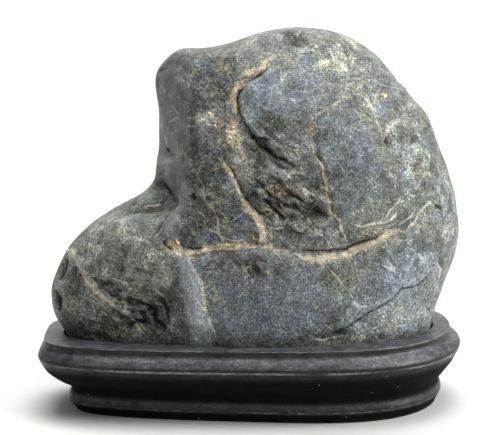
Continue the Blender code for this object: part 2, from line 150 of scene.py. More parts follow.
FOOT_CRACK = (
    (50.0, -74.0), (55.0, -71.5), (61.0, -67.5), (68.0, -63.0), (73.0, -60.0), (76.0, -57.0),
    (81.5, -53.5), (86.5, -52.0), (91.0, -46.5), (97.0, -47.0), (103.0, -44.5), (107.5, -39.5),
)
ROUGH_RIDGES = (
    ((-3.0, 24.0), (6.0, 16.0), (17.0, 9.0), (27.0, 5.0)),
    ((8.0, 33.0), (19.0, 24.0), (31.0, 17.0), (42.0, 12.0)),
    ((12.0, 0.0), (23.0, -5.0), (33.0, -9.0), (43.0, -14.0)),
)
# (line, side that stands proud, rise, sharpness, reach)
LEDGES = (
    (DOME_STEP, 1.0, 2.0, 0.6, 13.0),
    (MAIN_LEDGE, -1.0, 2.6, 0.9, 22.0),
    (CROSS_VEIN, -1.0, 2.2, 0.9, 16.0),
    (TOE_CREST, 1.0, 3.2, 1.2, 16.0),
    (FOOT_CRACK, 1.0, 1.5, 0.7, 16.0),
    (TOE_BROW, 1.0, 4.0, 1.8, 18.0),
)
# (line, rise, half width)
CREASES = (
    (DOME_STEP, -0.4, 1.6), (MAIN_LEDGE, -1.2, 2.6), (CROSS_VEIN, -1.1, 2.6), (THIN_VEIN, -1.0, 2.4),
    (NECK_VALLEY, -3.4, 7.5), (TOE_FOLD, -2.0, 4.5), (NECK_BAND, 3.2, 5.0), (SHIN_BAND, 3.6, 5.5),
    (FOOT_CRACK, -1.0, 1.8), (ROUGH_RIDGES[0], 2.0, 3.6), (ROUGH_RIDGES[1], 2.2, 4.2),
    (ROUGH_RIDGES[2], 1.8, 4.0), (TOE_CREST, 0.7, 2.4),
)
# (middle, half width, half height, rise)
HOLLOWS = (
    ((-65.0, -57.0), 22.0, 13.0, -7.5),    # under the toe's brow
    ((-41.0, -9.0), 10.0, 9.0, -5.0),      # inside the neck's band
    ((22.0, 7.0), 30.0, 20.0, -3.5),       # rough ground between the dome and the lower body
    ((31.0, 109.0), 7.0, 4.5, -4.0),       # pit on the crown
    ((85.5, 43.5), 5.0, 5.0, -2.5),
    ((51.5, -74.0), 6.0, 4.0, -3.4),       # pit at the seat
    ((-116.0, -28.0), 4.5, 8.0, -2.4),     # pockets at the end of the toe
    ((-119.0, -49.0), 4.0, 7.0, -2.0),
    ((32.0, 68.0), 36.0, 30.0, 3.2),       # fullness of the dome
    ((-27.0, 20.0), 11.0, 14.0, 2.5),      # swelling right of the neck's band
    ((-86.0, -24.0), 16.0, 14.0, 2.5),     # knuckle above the toe's hollow
    ((-50.0, -62.0), 8.0, 7.0, 2.5),       # knob beside the toe's hollow
    ((70.0, 30.0), 30.0, 34.0, 3.0),       # fullness of the right flank
    ((8.0, -50.0), 34.0, 20.0, 2.5),       # fullness of the lower body
    ((79.0, -33.0), 14.0, 8.0, -3.0),      # dent in the right flank
)
# What is drawn wanders a little: (reach, size, seeds)
FINE_WANDER = (0.65, 5.0, (4.5, 6.5))
RAGGED_WANDER = (1.7, 4.5, (1.5, 3.5))
BACK_WANDER = (6.0, 26.0, (2.5, 8.5))
BACK_LEDGES = (
    (((-46.0, 172.0), (-18.0, 156.0), (12.0, 158.0), (48.0, 143.0), (88.0, 152.0)), -1.0, 4.0, 2.4, 20.0),
    (((-106.0, 80.0), (-66.0, 90.0), (-30.0, 78.0), (10.0, 82.0), (44.0, 70.0)), -1.0, 3.6, 2.4, 18.0),
    (((66.0, 212.0), (50.0, 188.0), (56.0, 162.0), (46.0, 134.0)), 1.0, 3.0, 2.4, 16.0),
    (((-92.0, 112.0), (-78.0, 96.0), (-82.0, 76.0), (-70.0, 58.0)), 1.0, 2.6, 2.4, 12.0),
)
BACK_CREASES = (
    (((94.0, 148.0), (80.0, 120.0), (92.0, 92.0), (84.0, 60.0)), -3.0, 4.5),
    (((-44.0, 190.0), (-24.0, 206.0), (4.0, 200.0)), -2.4, 4.5),
    (((-10.0, 130.0), (4.0, 110.0), (-6.0, 92.0)), 2.6, 6.0),
    (((-52.0, 136.0), (-62.0, 118.0), (-56.0, 102.0)), -3.0, 6.5),
)
BACK_HOLLOWS = (
    ((34.0, 112.0), 20.0, 16.0, -4.5), ((104.0, 118.0), 12.0, 18.0, -3.0),
    ((-84.0, 60.0), 18.0, 12.0, -3.0), ((-20.0, 126.0), 16.0, 20.0, 3.0),
    ((64.0, 90.0), 18.0, 14.0, 3.0), ((10.0, 190.0), 22.0, 14.0, 2.6),
)

# ---- Fine drawing of the front ------------------------------------------------------------------------
# A stroke's half width and rise are in millimetres; warmth runs from white to orange.
Stroke = namedtuple("Stroke", "line half_width warmth rise strength")
PLAIN_STROKE = Stroke((), 0.0, 0.0, 0.0, 0.0)


def drawn_strokes(looks, rows):
    """Strokes from rows that hold the named looks and then the photograph pixels of the line."""
    names = looks.split()
    return {title: PLAIN_STROKE._replace(line=drawn(*row[len(names):]), **dict(zip(names, row)))
            for title, row in rows.items()}


VEINS = drawn_strokes("half_width warmth rise strength", {
    "main, left": (2.0, 0.8, 0.8, 1.0, (165, 242), (168, 247), (173, 251), (182, 253), (198, 252),
        (213, 248), (232, 246), (246, 245), (260, 247)),
    "main, middle": (1.1, 0.5, 0.5, 0.75, (250, 246), (268, 248), (280, 250), (293, 252), (306, 257)),
    "main, right": (1.6, 0.55, 1.1, 1.0, (294, 253), (303, 257), (312, 259), (321, 259), (326, 256),
        (338, 257), (346, 254), (356, 249), (366, 245), (378, 238), (386, 233), (396, 230), (404, 232)),
    "fork at the neck": (0.7, 0.8, 0.4, 0.9, (175, 238), (179, 246), (182, 252)),
    "above the step": (1.5, 0.55, 0.4, 1.0, (275, 56), (268, 62), (264, 69), (256, 73), (248, 75),
        (240, 79)),
    "left of the step": (1.6, 0.9, 0.4, 0.95, (248, 85), (241, 87), (236, 90), (233, 97), (235, 106),
        (236, 118)),
    "below the step": (1.3, 0.9, 0.2, 0.6, (237, 116), (235, 130), (240, 150), (249, 163)),
    "cross, upper": (1.0, 0.75, 0.5, 0.85, (218, 158), (222, 162), (230, 171), (237, 187), (244, 202)),
    "cross, lower": (1.6, 0.65, 0.7, 1.0, (241, 198), (249, 208), (258, 220), (262, 229), (262, 238),
        (260, 246)),
    "thin, upper": (0.45, 0.55, 0.2, 0.75, (352, 99), (342, 99), (335, 105), (320, 113), (312, 120),
        (308, 127)),
    "thin, brown": (0.8, 0.8, 0.2, 0.4, (310, 112), (309, 130), (313, 148), (316, 158)),
    "thin, lower": (0.7, 0.65, 0.25, 1.0, (312, 150), (315, 156), (321, 167), (325, 183), (328, 197),
        (331, 212), (339, 219), (342, 232), (347, 242)),
    "toe, upper": (1.4, 0.36, 0.5, 1.0, (64, 250), (74, 253), (80, 261), (84, 271), (89, 280),
        (99, 290)),
    "toe, lower": (1.3, 0.33, 0.3, 0.9, (90, 280), (103, 296), (115, 308)),
    "shin edge": (0.9, 0.33, 0.3, 0.75, (187, 254), (190, 262), (200, 277), (204, 285), (205, 297),
        (207, 310), (212, 325), (217, 341)),
    "right, upper": (0.6, 0.3, 0.2, 0.95, (350, 223), (362, 227), (372, 223), (386, 222), (394, 216),
        (396, 208)),
    "right, loop": (0.6, 0.35, 0.2, 0.9, (405, 229), (413, 222), (420, 212), (429, 202), (434, 206)),
    "right, flank": (0.5, 0.7, 0.2, 0.7, (411, 194), (418, 183), (426, 168)),
    "crown arc": (0.6, 0.6, 0.3, 0.6, (319, 73), (325, 66), (332, 61), (341, 62)),
    "shoulder": (0.5, 0.55, 0.2, 0.6, (381, 87), (375, 98), (370, 109), (377, 126), (383, 142)),
})
HAIRS = drawn_strokes("half_width warmth strength", {
    "below the main vein": (0.36, 0.7, 0.75, (324, 261), (336, 276), (348, 291), (358, 304),
        (366, 312)),
    "boss, left": (0.4, 0.5, 0.7, (185, 221), (189, 228), (195, 237)),
    "boss, middle": (0.45, 0.8, 0.8, (206, 197), (212, 207), (218, 220), (219, 234), (224, 246)),
    "boss, right": (0.35, 0.5, 0.7, (228, 224), (241, 215), (247, 211)),
    "body scratch, long": (0.28, 0.1, 0.6, (232, 262), (240, 271), (253, 284)),
    "body scratch, short": (0.28, 0.1, 0.6, (241, 264), (256, 283)),
    "right cell, lower": (0.3, 0.2, 0.5, (330, 203), (348, 203), (358, 204)),
    "web, left": (0.35, 0.6, 0.6, (348, 135), (351, 126), (360, 121), (372, 118)),
    "web, right": (0.35, 0.6, 0.6, (352, 128), (360, 132), (368, 128)),
    "dome, branch": (0.3, 0.0, 0.4, (311, 118), (317, 105), (323, 92)),
    "cheek": (0.35, 0.2, 0.6, (160, 121), (163, 130), (169, 147)),
    "cheek, lower": (0.35, 0.1, 0.5, (169, 158), (166, 166), (163, 177)),
    "head": (0.3, 0.0, 0.6, (236, 57), (238, 64), (238, 73)),
    "rough, white": (0.5, 0.2, 0.8, (298, 188), (306, 190), (314, 195), (321, 203)),
    "rough, orange": (0.5, 0.9, 0.9, (262, 191), (272, 186), (281, 184)),
    "toe top": (0.6, 0.6, 0.9, (142, 207), (150, 205), (159, 203)),
    "toe ridge": (0.5, 0.35, 0.6, (99, 266), (108, 274), (116, 279), (128, 282), (144, 283)),
    "toe diagonal": (0.5, 0.1, 0.9, (107, 301), (120, 313), (130, 320), (141, 328)),
    "toe end": (0.5, 0.2, 0.6, (72, 253), (67, 264), (62, 278), (60, 288)),
    "toe knob": (0.6, 0.5, 0.8, (152, 288), (158, 294), (163, 300)),
    "toe knob, right": (0.35, 0.4, 0.4, (178, 298), (180, 310), (179, 324)),
    "toe upper streak": (0.4, 0.45, 0.5, (138, 264), (146, 270), (153, 277)),
    "neck band, first": (0.3, 0.0, 0.55, (187, 198), (180, 209), (170, 219), (161, 229)),
    "neck band, second": (0.25, 0.1, 0.5, (184, 207), (176, 215), (166, 226)),
    "neck, streak": (0.5, 0.2, 0.6, (156, 238), (160, 232), (166, 228)),
    "boss web, first": (0.35, 0.4, 0.5, (192, 214), (196, 224), (199, 238)),
    "boss web, second": (0.45, 0.4, 0.5, (210, 171), (218, 168), (226, 166)),
    "boss web, third": (0.6, 0.7, 0.9, (209, 230), (217, 233), (224, 240)),
    "boss web, fourth": (0.4, 0.3, 0.6, (226, 196), (233, 190), (240, 192)),
    "boss web, fifth": (0.5, 0.6, 0.8, (222, 238), (232, 241), (246, 240)),
    "boss web, sixth": (0.45, 0.3, 0.8, (252, 215), (262, 210), (275, 209)),
    "boss web, seventh": (0.45, 0.6, 0.7, (200, 176), (206, 186), (208, 198)),
    "rough, cream": (0.6, 0.4, 0.8, (266, 226), (274, 229), (284, 228)),
    "strip": (0.35, 0.6, 0.4, (196, 150), (199, 164), (204, 176)),
    "flank, first": (0.45, 0.1, 0.9, (385, 219), (391, 208), (401, 198)),
    "flank, second": (0.45, 0.1, 0.9, (399, 226), (406, 220), (414, 212)),
    "flank, third": (0.35, 0.1, 0.8, (376, 232), (388, 226), (398, 222)),
    "flank, white": (0.9, 0.05, 1.0, (374, 262), (382, 266), (389, 268), (395, 272)),
    "flank, white streak": (0.5, 0.05, 0.9, (385, 258), (391, 266), (398, 270)),
    "flank, white spot": (0.9, 0.1, 0.9, (417, 252), (421, 258), (424, 263)),
    "flank, low streak": (0.6, 0.3, 0.9, (352, 301), (358, 305), (366, 306)),
    "right edge streak": (0.7, 0.05, 0.8, (436, 262), (441, 270), (440, 280)),
    "shoulder, white": (0.8, 0.1, 0.8, (362, 98), (367, 102), (371, 109), (375, 113)),
    "crown, first ray": (0.6, 0.1, 0.9, (330, 50), (333, 58), (333, 66)),
    "crown, second ray": (0.7, 0.2, 0.65, (336, 60), (342, 66), (347, 73)),
    "crown, third ray": (0.35, 0.05, 0.4, (326, 78), (322, 88), (318, 96)),
    "low right, fork": (0.35, 0.6, 0.6, (345, 290), (353, 288), (361, 280)),
    "low right, short": (0.3, 0.1, 0.6, (388, 320), (397, 334)),
    "seat, white": (0.5, 0.1, 0.8, (312, 339), (325, 341), (345, 338), (353, 335)),
    "seat, first": (0.35, 0.4, 0.7, (312, 322), (321, 331)),
    "seat, second": (0.35, 0.4, 0.7, (324, 323), (334, 331)),
    "shin, cross": (0.3, 0.1, 0.6, (186, 283), (194, 279)),
})
# Raised bands; their warmth is how smooth they are and their strength is how light, partly as painted
# sheen.
BANDS = drawn_strokes("half_width warmth rise strength", {
    "cheek": (9.8, 0.9, 0.4, -0.4, (172, 60), (173, 85), (173, 120), (174, 155), (178, 190),
        (182, 215)),
    "neck": (3.2, 0.9, 1.2, -0.2, (190, 178), (189, 194), (184, 206), (176, 217), (167, 226),
        (158, 236)),
    "shin, upper": (4.6, 0.35, 0.3, 1.5, (184, 244), (187, 262), (191, 282), (194, 302), (198, 330)),
    "shin, lower": (7.2, 0.35, 0.4, 1.75, (189, 262), (192, 284), (196, 308), (201, 330), (206, 360)),
    "toe": (2.0, 0.1, 0.1, 0.35, (86, 276), (97, 294), (108, 304), (122, 311), (136, 312)),
})
# Dark cracks: the rise is the depth of the groove.
CRACKS = drawn_strokes("half_width rise strength", {
    "step, top": (0.3, 0.7, 0.9, (271, 60), (267, 66), (266, 72), (258, 79), (250, 83), (244, 89)),
    "step, side": (0.3, 0.8, 1.0, (247, 86), (240, 93), (237, 100), (239, 112), (244, 123),
        (250, 129), (253, 136)),
    "step, foot": (0.5, 1.3, 1.0, (249, 128), (253, 137), (262, 146), (270, 151), (275, 157),
        (286, 160), (293, 166), (302, 165)),
    "step, branch": (0.7, 1.1, 1.0, (251, 134), (258, 139), (270, 141)),
    "step, second branch": (0.4, 0.9, 0.9, (258, 139), (262, 143), (272, 147)),
    "step, under": (0.5, 0.9, 0.8, (268, 157), (280, 167), (288, 170)),
    "beside the cross vein": (0.35, 0.8, 0.9, (227, 163), (234, 174), (241, 192), (249, 204),
        (258, 213), (268, 218)),
    "above the main vein": (0.45, 1.0, 1.0, (296, 249), (307, 251), (325, 251), (345, 250),
        (356, 244), (372, 239), (384, 232)),
    "under the main vein": (0.35, 0.6, 0.7, (186, 256), (200, 255), (222, 251), (240, 250)),
    "rough, upper": (0.5, 1.2, 1.0, (252, 174), (260, 184), (270, 196), (284, 204), (297, 209)),
    "rough, left": (0.5, 0.8, 1.0, (248, 183), (259, 188)),
    "rough, middle": (0.4, 0.9, 0.9, (270, 175), (282, 184), (292, 194), (306, 204)),
    "rough, lower": (0.5, 1.0, 0.9, (262, 198), (274, 209), (284, 219)),
    "rough, right": (0.4, 0.8, 0.9, (294, 196), (310, 207), (322, 214)),
    "rough, foot": (0.5, 0.9, 0.9, (289, 226), (294, 231), (306, 235)),
    "foot, right": (0.42, 0.8, 1.0, (427, 278), (418, 285), (401, 288), (390, 299), (370, 312)),
    "foot, left": (0.4, 1.0, 1.0, (376, 307), (362, 317), (348, 327), (335, 337)),
    "foot, notch": (0.35, 0.6, 0.9, (427, 306), (432, 313)),
    "head corner": (0.3, 0.5, 0.8, (158, 74), (162, 71), (168, 68)),
    "toe fold": (0.25, 0.5, 0.7, (120, 211), (135, 212), (150, 210), (170, 208)),
    "toe fold, upper": (0.25, 0.4, 0.7, (140, 207), (152, 206), (164, 203)),
    "toe brow": (0.8, 1.4, 1.0, (124, 297), (136, 302), (146, 308), (155, 317)),
    "toe strata, first": (0.35, 0.9, 1.0, (93, 275), (102, 283), (110, 291), (117, 299), (125, 305)),
    "toe strata, second": (0.3, 0.7, 0.9, (101, 277), (108, 284), (115, 292), (122, 299)),
    "toe strata, third": (0.3, 0.7, 0.9, (109, 279), (116, 286), (123, 294)),
    "toe pit": (1.1, 1.8, 1.0, (150, 316), (156, 325), (166, 331)),
    "toe pit, left": (0.8, 1.2, 1.0, (126, 329), (135, 323), (145, 326)),
    "toe pit, right": (0.7, 1.2, 0.9, (160, 302), (166, 312), (168, 322)),
    "toe, upper pocket": (0.7, 1.3, 1.0, (68, 257), (65, 265), (63, 273), (59, 281)),
    "toe, lower pocket": (0.6, 1.3, 1.0, (55, 289), (58, 296), (60, 304), (60, 312)),
    "neck gap": (0.7, 1.0, 1.0, (163, 240), (168, 246), (174, 250)),
    "neck gap, right": (0.6, 0.8, 1.0, (186, 246), (194, 249), (204, 248)),
    "neck band, left edge": (0.35, 0.7, 0.8, (181, 196), (180, 204), (174, 213), (166, 223),
        (157, 233)),
    "neck hollow": (0.6, 0.8, 0.8, (158, 180), (163, 186), (170, 196), (176, 204)),
    "thin vein": (0.35, 0.5, 0.9, (315, 151), (320, 162)),
    "thin vein, lower": (0.3, 0.5, 0.9, (330, 206), (334, 214), (339, 219)),
    "dent": (0.5, 0.8, 0.6, (372, 261), (380, 265), (388, 273)),
    "shoulder pit": (0.6, 0.8, 1.0, (384, 141), (388, 144)),
    "right edge": (0.6, 0.8, 1.0, (436, 204), (443, 211)),
    "cheek arris": (0.25, 0.3, 0.5, (187, 96), (190, 115), (191, 140), (190, 165), (191, 182),
        (190, 198)),
    "cheek pit": (0.7, 0.8, 1.0, (168, 148), (170, 152)),
    "boss pit": (0.9, 0.9, 1.0, (195, 193), (198, 200)),
})

# ---- Patches of the front: middle, half width and half height in photograph pixels, and strength ----
PATCHES = {
    "blue": {
        "dome, upper": (286, 96, 32, 24, 0.85),
        "dome, lower": (318, 130, 30, 24, 0.7),
        "right cell": (346, 162, 26, 42, 1.0),
        "lower body": (268, 305, 58, 38, 1.0),
        "shin": (192, 298, 12, 44, 1.0),
        "low right": (392, 295, 46, 38, 0.9),
        "boss cell": (243, 225, 11, 11, 1.1),
        "boss, left cell": (208, 235, 9, 6, 0.8),
        "boss, middle cell": (234, 204, 9, 8, 0.8),
        "above the main vein": (316, 236, 18, 9, 0.6),
        "shoulder": (378, 110, 9, 9, 0.9),
        "boss top": (222, 178, 9, 7, 0.8),
        "crown": (302, 78, 24, 18, 0.7),
        "head": (204, 84, 26, 26, 0.5),
    },
    # Lighter patches: partly lighter stone, partly painted light and sheen where the lamps fall, as on
    # the dome's upper left, the toe's top, the right flank and the lower right.
    "light": {
        "low right": (392, 314, 42, 18, 1.18),
        "right low": (416, 272, 26, 26, 1.05),
        "dome, upper": (268, 97, 22, 14, 0.95),
        "toe top": (130, 224, 34, 8, 0.8),
        "toe, upper": (98, 262, 14, 8, 0.45),
        "toe, right": (154, 262, 20, 7, 0.7),
        "toe, front": (102, 312, 12, 7, 0.45),
        "right edge": (444, 215, 12, 44, 0.8),
        "flank": (412, 164, 22, 42, 0.68),
        "crown": (332, 50, 32, 12, 0.35),
        "shoulder": (378, 112, 8, 10, 0.6),
    },
    # Darker patches of olive and blue-grey stone. Those in the toe's hollow, at its seat and corners, by
    # its knob, fold, pockets and brow, in the neck's hollow and gap and in the boss pit are painted
    # shade, as is part of the head's front.
    "dark": {
        "boss": (206, 186, 22, 34, 0.95),
        "boss, right": (222, 226, 24, 15, 0.7),
        "head": (206, 78, 30, 30, 1.4),
        "head, low": (216, 150, 22, 16, 0.6),
        "dome, lower left": (270, 128, 26, 15, 1.0),
        "toe corner": (70, 322, 15, 14, 1.0),
        "knob": (166, 312, 10, 20, 0.7),
        "rough": (282, 206, 36, 20, 0.95),
        "rough, right": (322, 214, 20, 14, 0.7),
        "toe hollow": (142, 322, 26, 15, 0.9),
        "toe strata": (116, 292, 18, 10, 0.9),
        "toe shade": (132, 272, 22, 6, 0.65),
        "toe triangle": (77, 282, 8, 16, 0.9),
        "toe, below the arc": (124, 290, 14, 5, 0.7),
        "toe pocket, upper": (62, 271, 4, 9, 0.9),
        "toe pocket, lower": (57, 301, 3, 9, 0.9),
        "toe seat": (96, 330, 42, 11, 1.3),
        "dome, foot": (266, 138, 18, 13, 0.75),
        "crown mark": (291, 38, 9, 9, 1.4),
        "right cell": (344, 166, 26, 36, 0.55),
        "dome, lower right": (318, 136, 24, 18, 0.4),
        "toe corner, low": (84, 330, 16, 9, 1.0),
        "neck": (163, 190, 9, 13, 1.2),
        "neck, below": (172, 208, 5, 6, 1.0),
        "boss pit": (197, 196, 5, 7, 1.2),
        "neck gap": (180, 244, 12, 6, 1.0),
        "strip by the cheek": (196, 150, 4, 40, 1.2),
        "below the main vein": (246, 266, 24, 12, 0.8),
        "seat crack": (318, 337, 24, 5, 0.8),
        "toe fold": (150, 205, 20, 4, 0.7),
        "right of the rough": (352, 238, 24, 9, 0.5),
    },
    "pale": {
        "crown": (336, 62, 17, 12, 1.0),
        "crown, top": (322, 46, 16, 5, 0.5),
        "shoulder": (358, 86, 12, 9, 0.6),
        "flank": (420, 166, 12, 17, 0.8),
        "flank, upper": (408, 135, 16, 18, 0.25),
        "head, left": (206, 116, 10, 7, 0.9),
        "head, middle": (226, 104, 5, 9, 0.8),
        "toe top": (112, 232, 32, 8, 0.4),
        "toe spot": (100, 248, 8, 5, 0.8),
        "boss": (213, 165, 7, 4, 0.8),
        "below the step": (258, 168, 10, 12, 0.75),
        "rough, top": (290, 172, 12, 6, 0.7),
        "boss, top": (230, 163, 9, 5, 0.8),
        "rough": (300, 190, 24, 7, 0.7),
        "shoulder pit": (384, 134, 4, 8, 0.25),
        "white spot": (372, 101, 9, 6, 0.9),
        "above the main vein": (318, 233, 16, 4, 0.6),
        "toe brow": (132, 283, 16, 4, 0.9),
        "toe seat web": (134, 333, 18, 6, 0.6),
        "toe edge": (100, 306, 12, 8, 0.75),
        "seat": (352, 338, 14, 4, 0.7),
        "neck foot": (165, 258, 16, 9, 0.35),
        "toe front": (104, 312, 12, 8, 0.8),
        "toe, beside the vein": (85, 266, 8, 13, 0.75),
        "toe, along the strata": (97, 288, 9, 9, 0.8),
        "toe, upper arc": (128, 280, 20, 4, 0.5),
        "toe knob": (154, 292, 8, 6, 0.6),
    },
    "warm": {
        "step patch": (233, 132, 9, 15, 0.95),
        "step patch, left": (216, 126, 12, 6, 0.7),
        "body stain": (244, 291, 8, 6, 0.4),
        "body stain, right": (267, 288, 5, 6, 0.6),
        "body streak": (267, 302, 3, 8, 0.55),
        "thin vein": (330, 206, 3, 6, 0.9),
        "thin vein, upper": (312, 132, 4, 14, 0.65),
        "cross vein": (262, 228, 5, 12, 0.8),
        "crown spot": (353, 43, 3, 2, 1.0),
        "crown arc": (326, 65, 8, 5, 0.55),
        "shoulder spot": (386, 95, 4, 4, 0.9),
        "shoulder, low": (383, 134, 4, 7, 0.8),
        "rough": (280, 190, 16, 5, 0.9),
        "rough, low": (276, 212, 18, 7, 0.6),
        "neck fork": (172, 247, 8, 5, 0.8),
        "toe vein": (74, 254, 5, 4, 0.6),
        "boss": (214, 212, 5, 7, 0.5),
    },
    "green": {
        "low right": (400, 318, 46, 20, 0.5),
        "toe": (120, 255, 50, 40, 1.0),
        "head top": (216, 48, 30, 5, 0.9),
        "right edge": (446, 215, 10, 60, 0.6),
        "crown": (300, 44, 60, 9, 0.6),
        "flank": (410, 130, 24, 34, 0.5),
    },
    "rough": {
        "middle": (288, 204, 46, 30, 1.0),
        "toe hollow": (138, 314, 32, 20, 1.0),
        "boss": (212, 205, 26, 40, 0.58),
        "seat": (330, 335, 28, 8, 0.5),
        "toe seat": (104, 336, 30, 6, 0.7),
        "dome, foot": (268, 150, 24, 17, 0.8),
        "below the main vein": (250, 266, 24, 10, 0.6),
        "flank": (420, 165, 16, 20, 0.4),
        "toe brow": (100, 285, 22, 12, 0.6),
        "head": (214, 85, 28, 30, 0.35),
        "below the step": (232, 160, 20, 20, 0.5),
    },
    "cell": {
        "boss, right": (242, 224, 11, 11, 1.0),
        "boss, top": (221, 179, 9, 7, 0.9),
        "boss, middle": (233, 203, 7, 8, 0.9),
        "boss, left": (206, 237, 8, 5, 1.0),
        "boss, low": (226, 238, 7, 4, 0.8),
        "rough, top": (272, 184, 9, 7, 1.1),
        "beside the thin vein": (309, 182, 9, 12, 0.7),
        "above the main vein": (318, 238, 15, 5, 0.6),
    },
    "smooth": {
        "cheek": (173, 122, 14, 62, 1.1),
        "head top": (218, 49, 26, 4, 0.8),
        "dome, upper": (268, 98, 22, 18, 0.4),
        "toe top": (126, 224, 38, 13, 0.5),
        "right cell": (346, 160, 24, 40, 0.25),
    },
}

# ---- Relief too fine for the solids, and the unseen side ---------------------------------------------
# (half width, warmth, rise, strength)
BACK_VEIN_LOOKS = (
    (0.9, 0.6, 0.7, 0.5), (0.8, 0.3, 0.5, 0.5), (0.7, 0.8, 0.3, 0.5), (0.5, 0.1, 0.2, 0.5),
)
BACK_CRACK_SHIFT = 0.8           # cracks of the back run beside its veins
DRAWN_RAMP = (-0.25, 0.0)        # facing the eye this much, the drawing of the front takes over
SEEN_FROM = 0.3                  # share of the front's drawing from which its strokes count
SIDE_RAMP = (0.05, 0.45)         # facing front or back this much, that side's large relief takes over
FOOT_RAMP = (3.0, 12.0)          # height above the foot over which relief sets in
PATCH_FALL = 0.7
UNSEEN_LARGE = (46.0, 4.0)       # (size, seed) of the noises that lay the unseen patches
UNSEEN_MIDDLE = (26.0, 7.0)
UNSEEN_ROUGH = (40.0, 3.0)
NO_STROKE = 60.0                 # distance where no stroke is near
END_WIDTH = 0.25                 # share of a stroke's width that is left at its ends
LEAST_RISE = 0.15                # flatter strokes are colour alone
VEIN_LUMPS = (2.6, 9.0)
VEIN_SPREAD = 0.5
CRACK_SPREAD = 0.55
STRATA_TURN = math.radians(38.0)
STRATA_STRETCH = (0.4, 0.8, 1.3)
STRATA_RIDGES = ((6.5, 0.30, 9.0, 1.0), (5.5, 0.25, 3.6, 2.0))    # (rise, proud share, size, seed)
PITTING = ((0.75, 8.0, 5.0), (0.34, 3.6, 6.0))                    # (rise, size, seed)
CAVITY_ROUNDS = 14
BROAD_CAVITY_ROUNDS = 90

# ---- Stand, as in the solids -------------------------------------------------------------------------
STAND_HALF_LENGTH = 131.0
STAND_HALF_DEPTH = 68.0
STAND_DEPTH_GROWTH = 0.25
LEFT_END_SQUARENESS = 4.1
RIGHT_END_SQUARENESS = 2.2
RIM_TOP = 46.5
RIM_GROWTH = 0.23
WAIST_GROWTH = -0.17
# (inset at the ends, inset along the sides, height, growth, 1 where the carver left an arris)
MOULDING = (
    (5.5, 5.0, RIM_TOP, RIM_GROWTH, 1), (5.3, 4.8, 42.2, RIM_GROWTH, 0),
    (2.6, 2.4, 39.8, RIM_GROWTH, 0), (0.7, 0.7, 37.4, 0.0, 0), (0.0, 0.0, 36.0, 0.0, 0),
    (0.5, 0.5, 33.8, 0.0, 1), (2.4, 2.3, 30.0, 0.0, 0), (4.4, 4.1, 26.4, 0.0, 0),
    (7.4, 6.7, 23.0, -0.05, 0), (11.4, 9.9, 19.2, -0.12, 0), (15.4, 12.9, 16.0, WAIST_GROWTH, 0),
    (16.6, 13.8, 13.5, WAIST_GROWTH, 0), (16.0, 13.3, 11.0, WAIST_GROWTH, 0),
    (15.1, 12.6, 8.8, WAIST_GROWTH, 0), (15.0, 12.4, 6.7, WAIST_GROWTH, 1),
    (17.2, 14.2, 3.2, WAIST_GROWTH, 0), (19.2, 15.8, 0.0, WAIST_GROWTH, 1),
)
STAND_STATIONS = 420
PROFILE_STEP = 0.8
SEAT_GAP = 0.8
SEAT_FLOOR = 33.2
SEAT_FLOOR_SHARES = (0.0, 0.36, 0.72, 0.99)
SEAT_WALL_HEIGHTS = (36.0, 39.0, 42.0, 44.0, 45.4)
SEAT_LIP = ((0.02, 0.5), (0.05, 0.15))    # (share of the way to the rim's edge, drop)
SEAT_SECTORS = 360
SEATED_FROM = 38.0               # the seat's edge follows the stone between these heights
SEATED_TO = RIM_TOP + 0.3
RIM_SHARES = (0.09, 0.985, 18)
RIM_DROP = 0.05
RIM_EDGE_DROP = 0.12
UNDERSIDE_SHARES = (0.97, 0.8, 0.4, 0.0)
CARVE_DEPTH = 0.35
KNIFE_WORK = ((0.75, 24.0, 2.4, 11.0), (0.25, 7.0, 3.0, 12.0))    # (share, size, flatness, seed)
UNWORN = 20.0                    # distance to an arris where there is none
FOOT_HEIGHT = 10.0               # the foot's arris is less worn
FOOT_FAINTNESS = 0.5
CARVED_FROM = (0.0, 1.5)         # height over which the knife work sets in
SHARP_ANGLE = math.radians(60.0)
JOIN_DISTANCE = 1e-6             # metres
LEFT_SHEEN_AND_DUST = (-128.0, -70.0)      # where dust and painted sheen set in past the left end's painted shade, and where they thin out again
RIGHT_SHEEN_AND_DUST = (80.0, 125.0)
RECESS_TOP = (33.0, 27.0)        # heights over which the painted shade of the recesses sets in and ends
RECESS_FOOT = (10.5, 12.5)
TABLE_SHADE = (6.4, 4.6)

# ---- Shared form tools -------------------------------------------------------------------------------
END_FADE = 0.16                  # share of a line over which it fades at each end


def smoothstep(low, high, value):
    """0 below low, 1 above high, and a smooth ramp between."""
    share = np.clip((value - low) / (high - low), 0.0, 1.0)
    return share * share * (3.0 - 2.0 * share)


def smooth_lower(first, second, roundness):
    """The lower of two values, rounded over where they meet."""
    blend = np.clip(0.5 + 0.5 * (second - first) / roundness, 0.0, 1.0)
    return second + (first - second) * blend - roundness * blend * (1.0 - blend)


def curve(share, span, start, start_slope, end, end_slope):
    """A smooth curve from one value to the next that keeps the slope given at each."""
    return ((1.0 + 2.0 * share) * (1.0 - share) ** 2 * start
            + share * (1.0 - share) ** 2 * span * start_slope
            + share ** 2 * (3.0 - 2.0 * share) * end
            + share ** 2 * (share - 1.0) * span * end_slope)


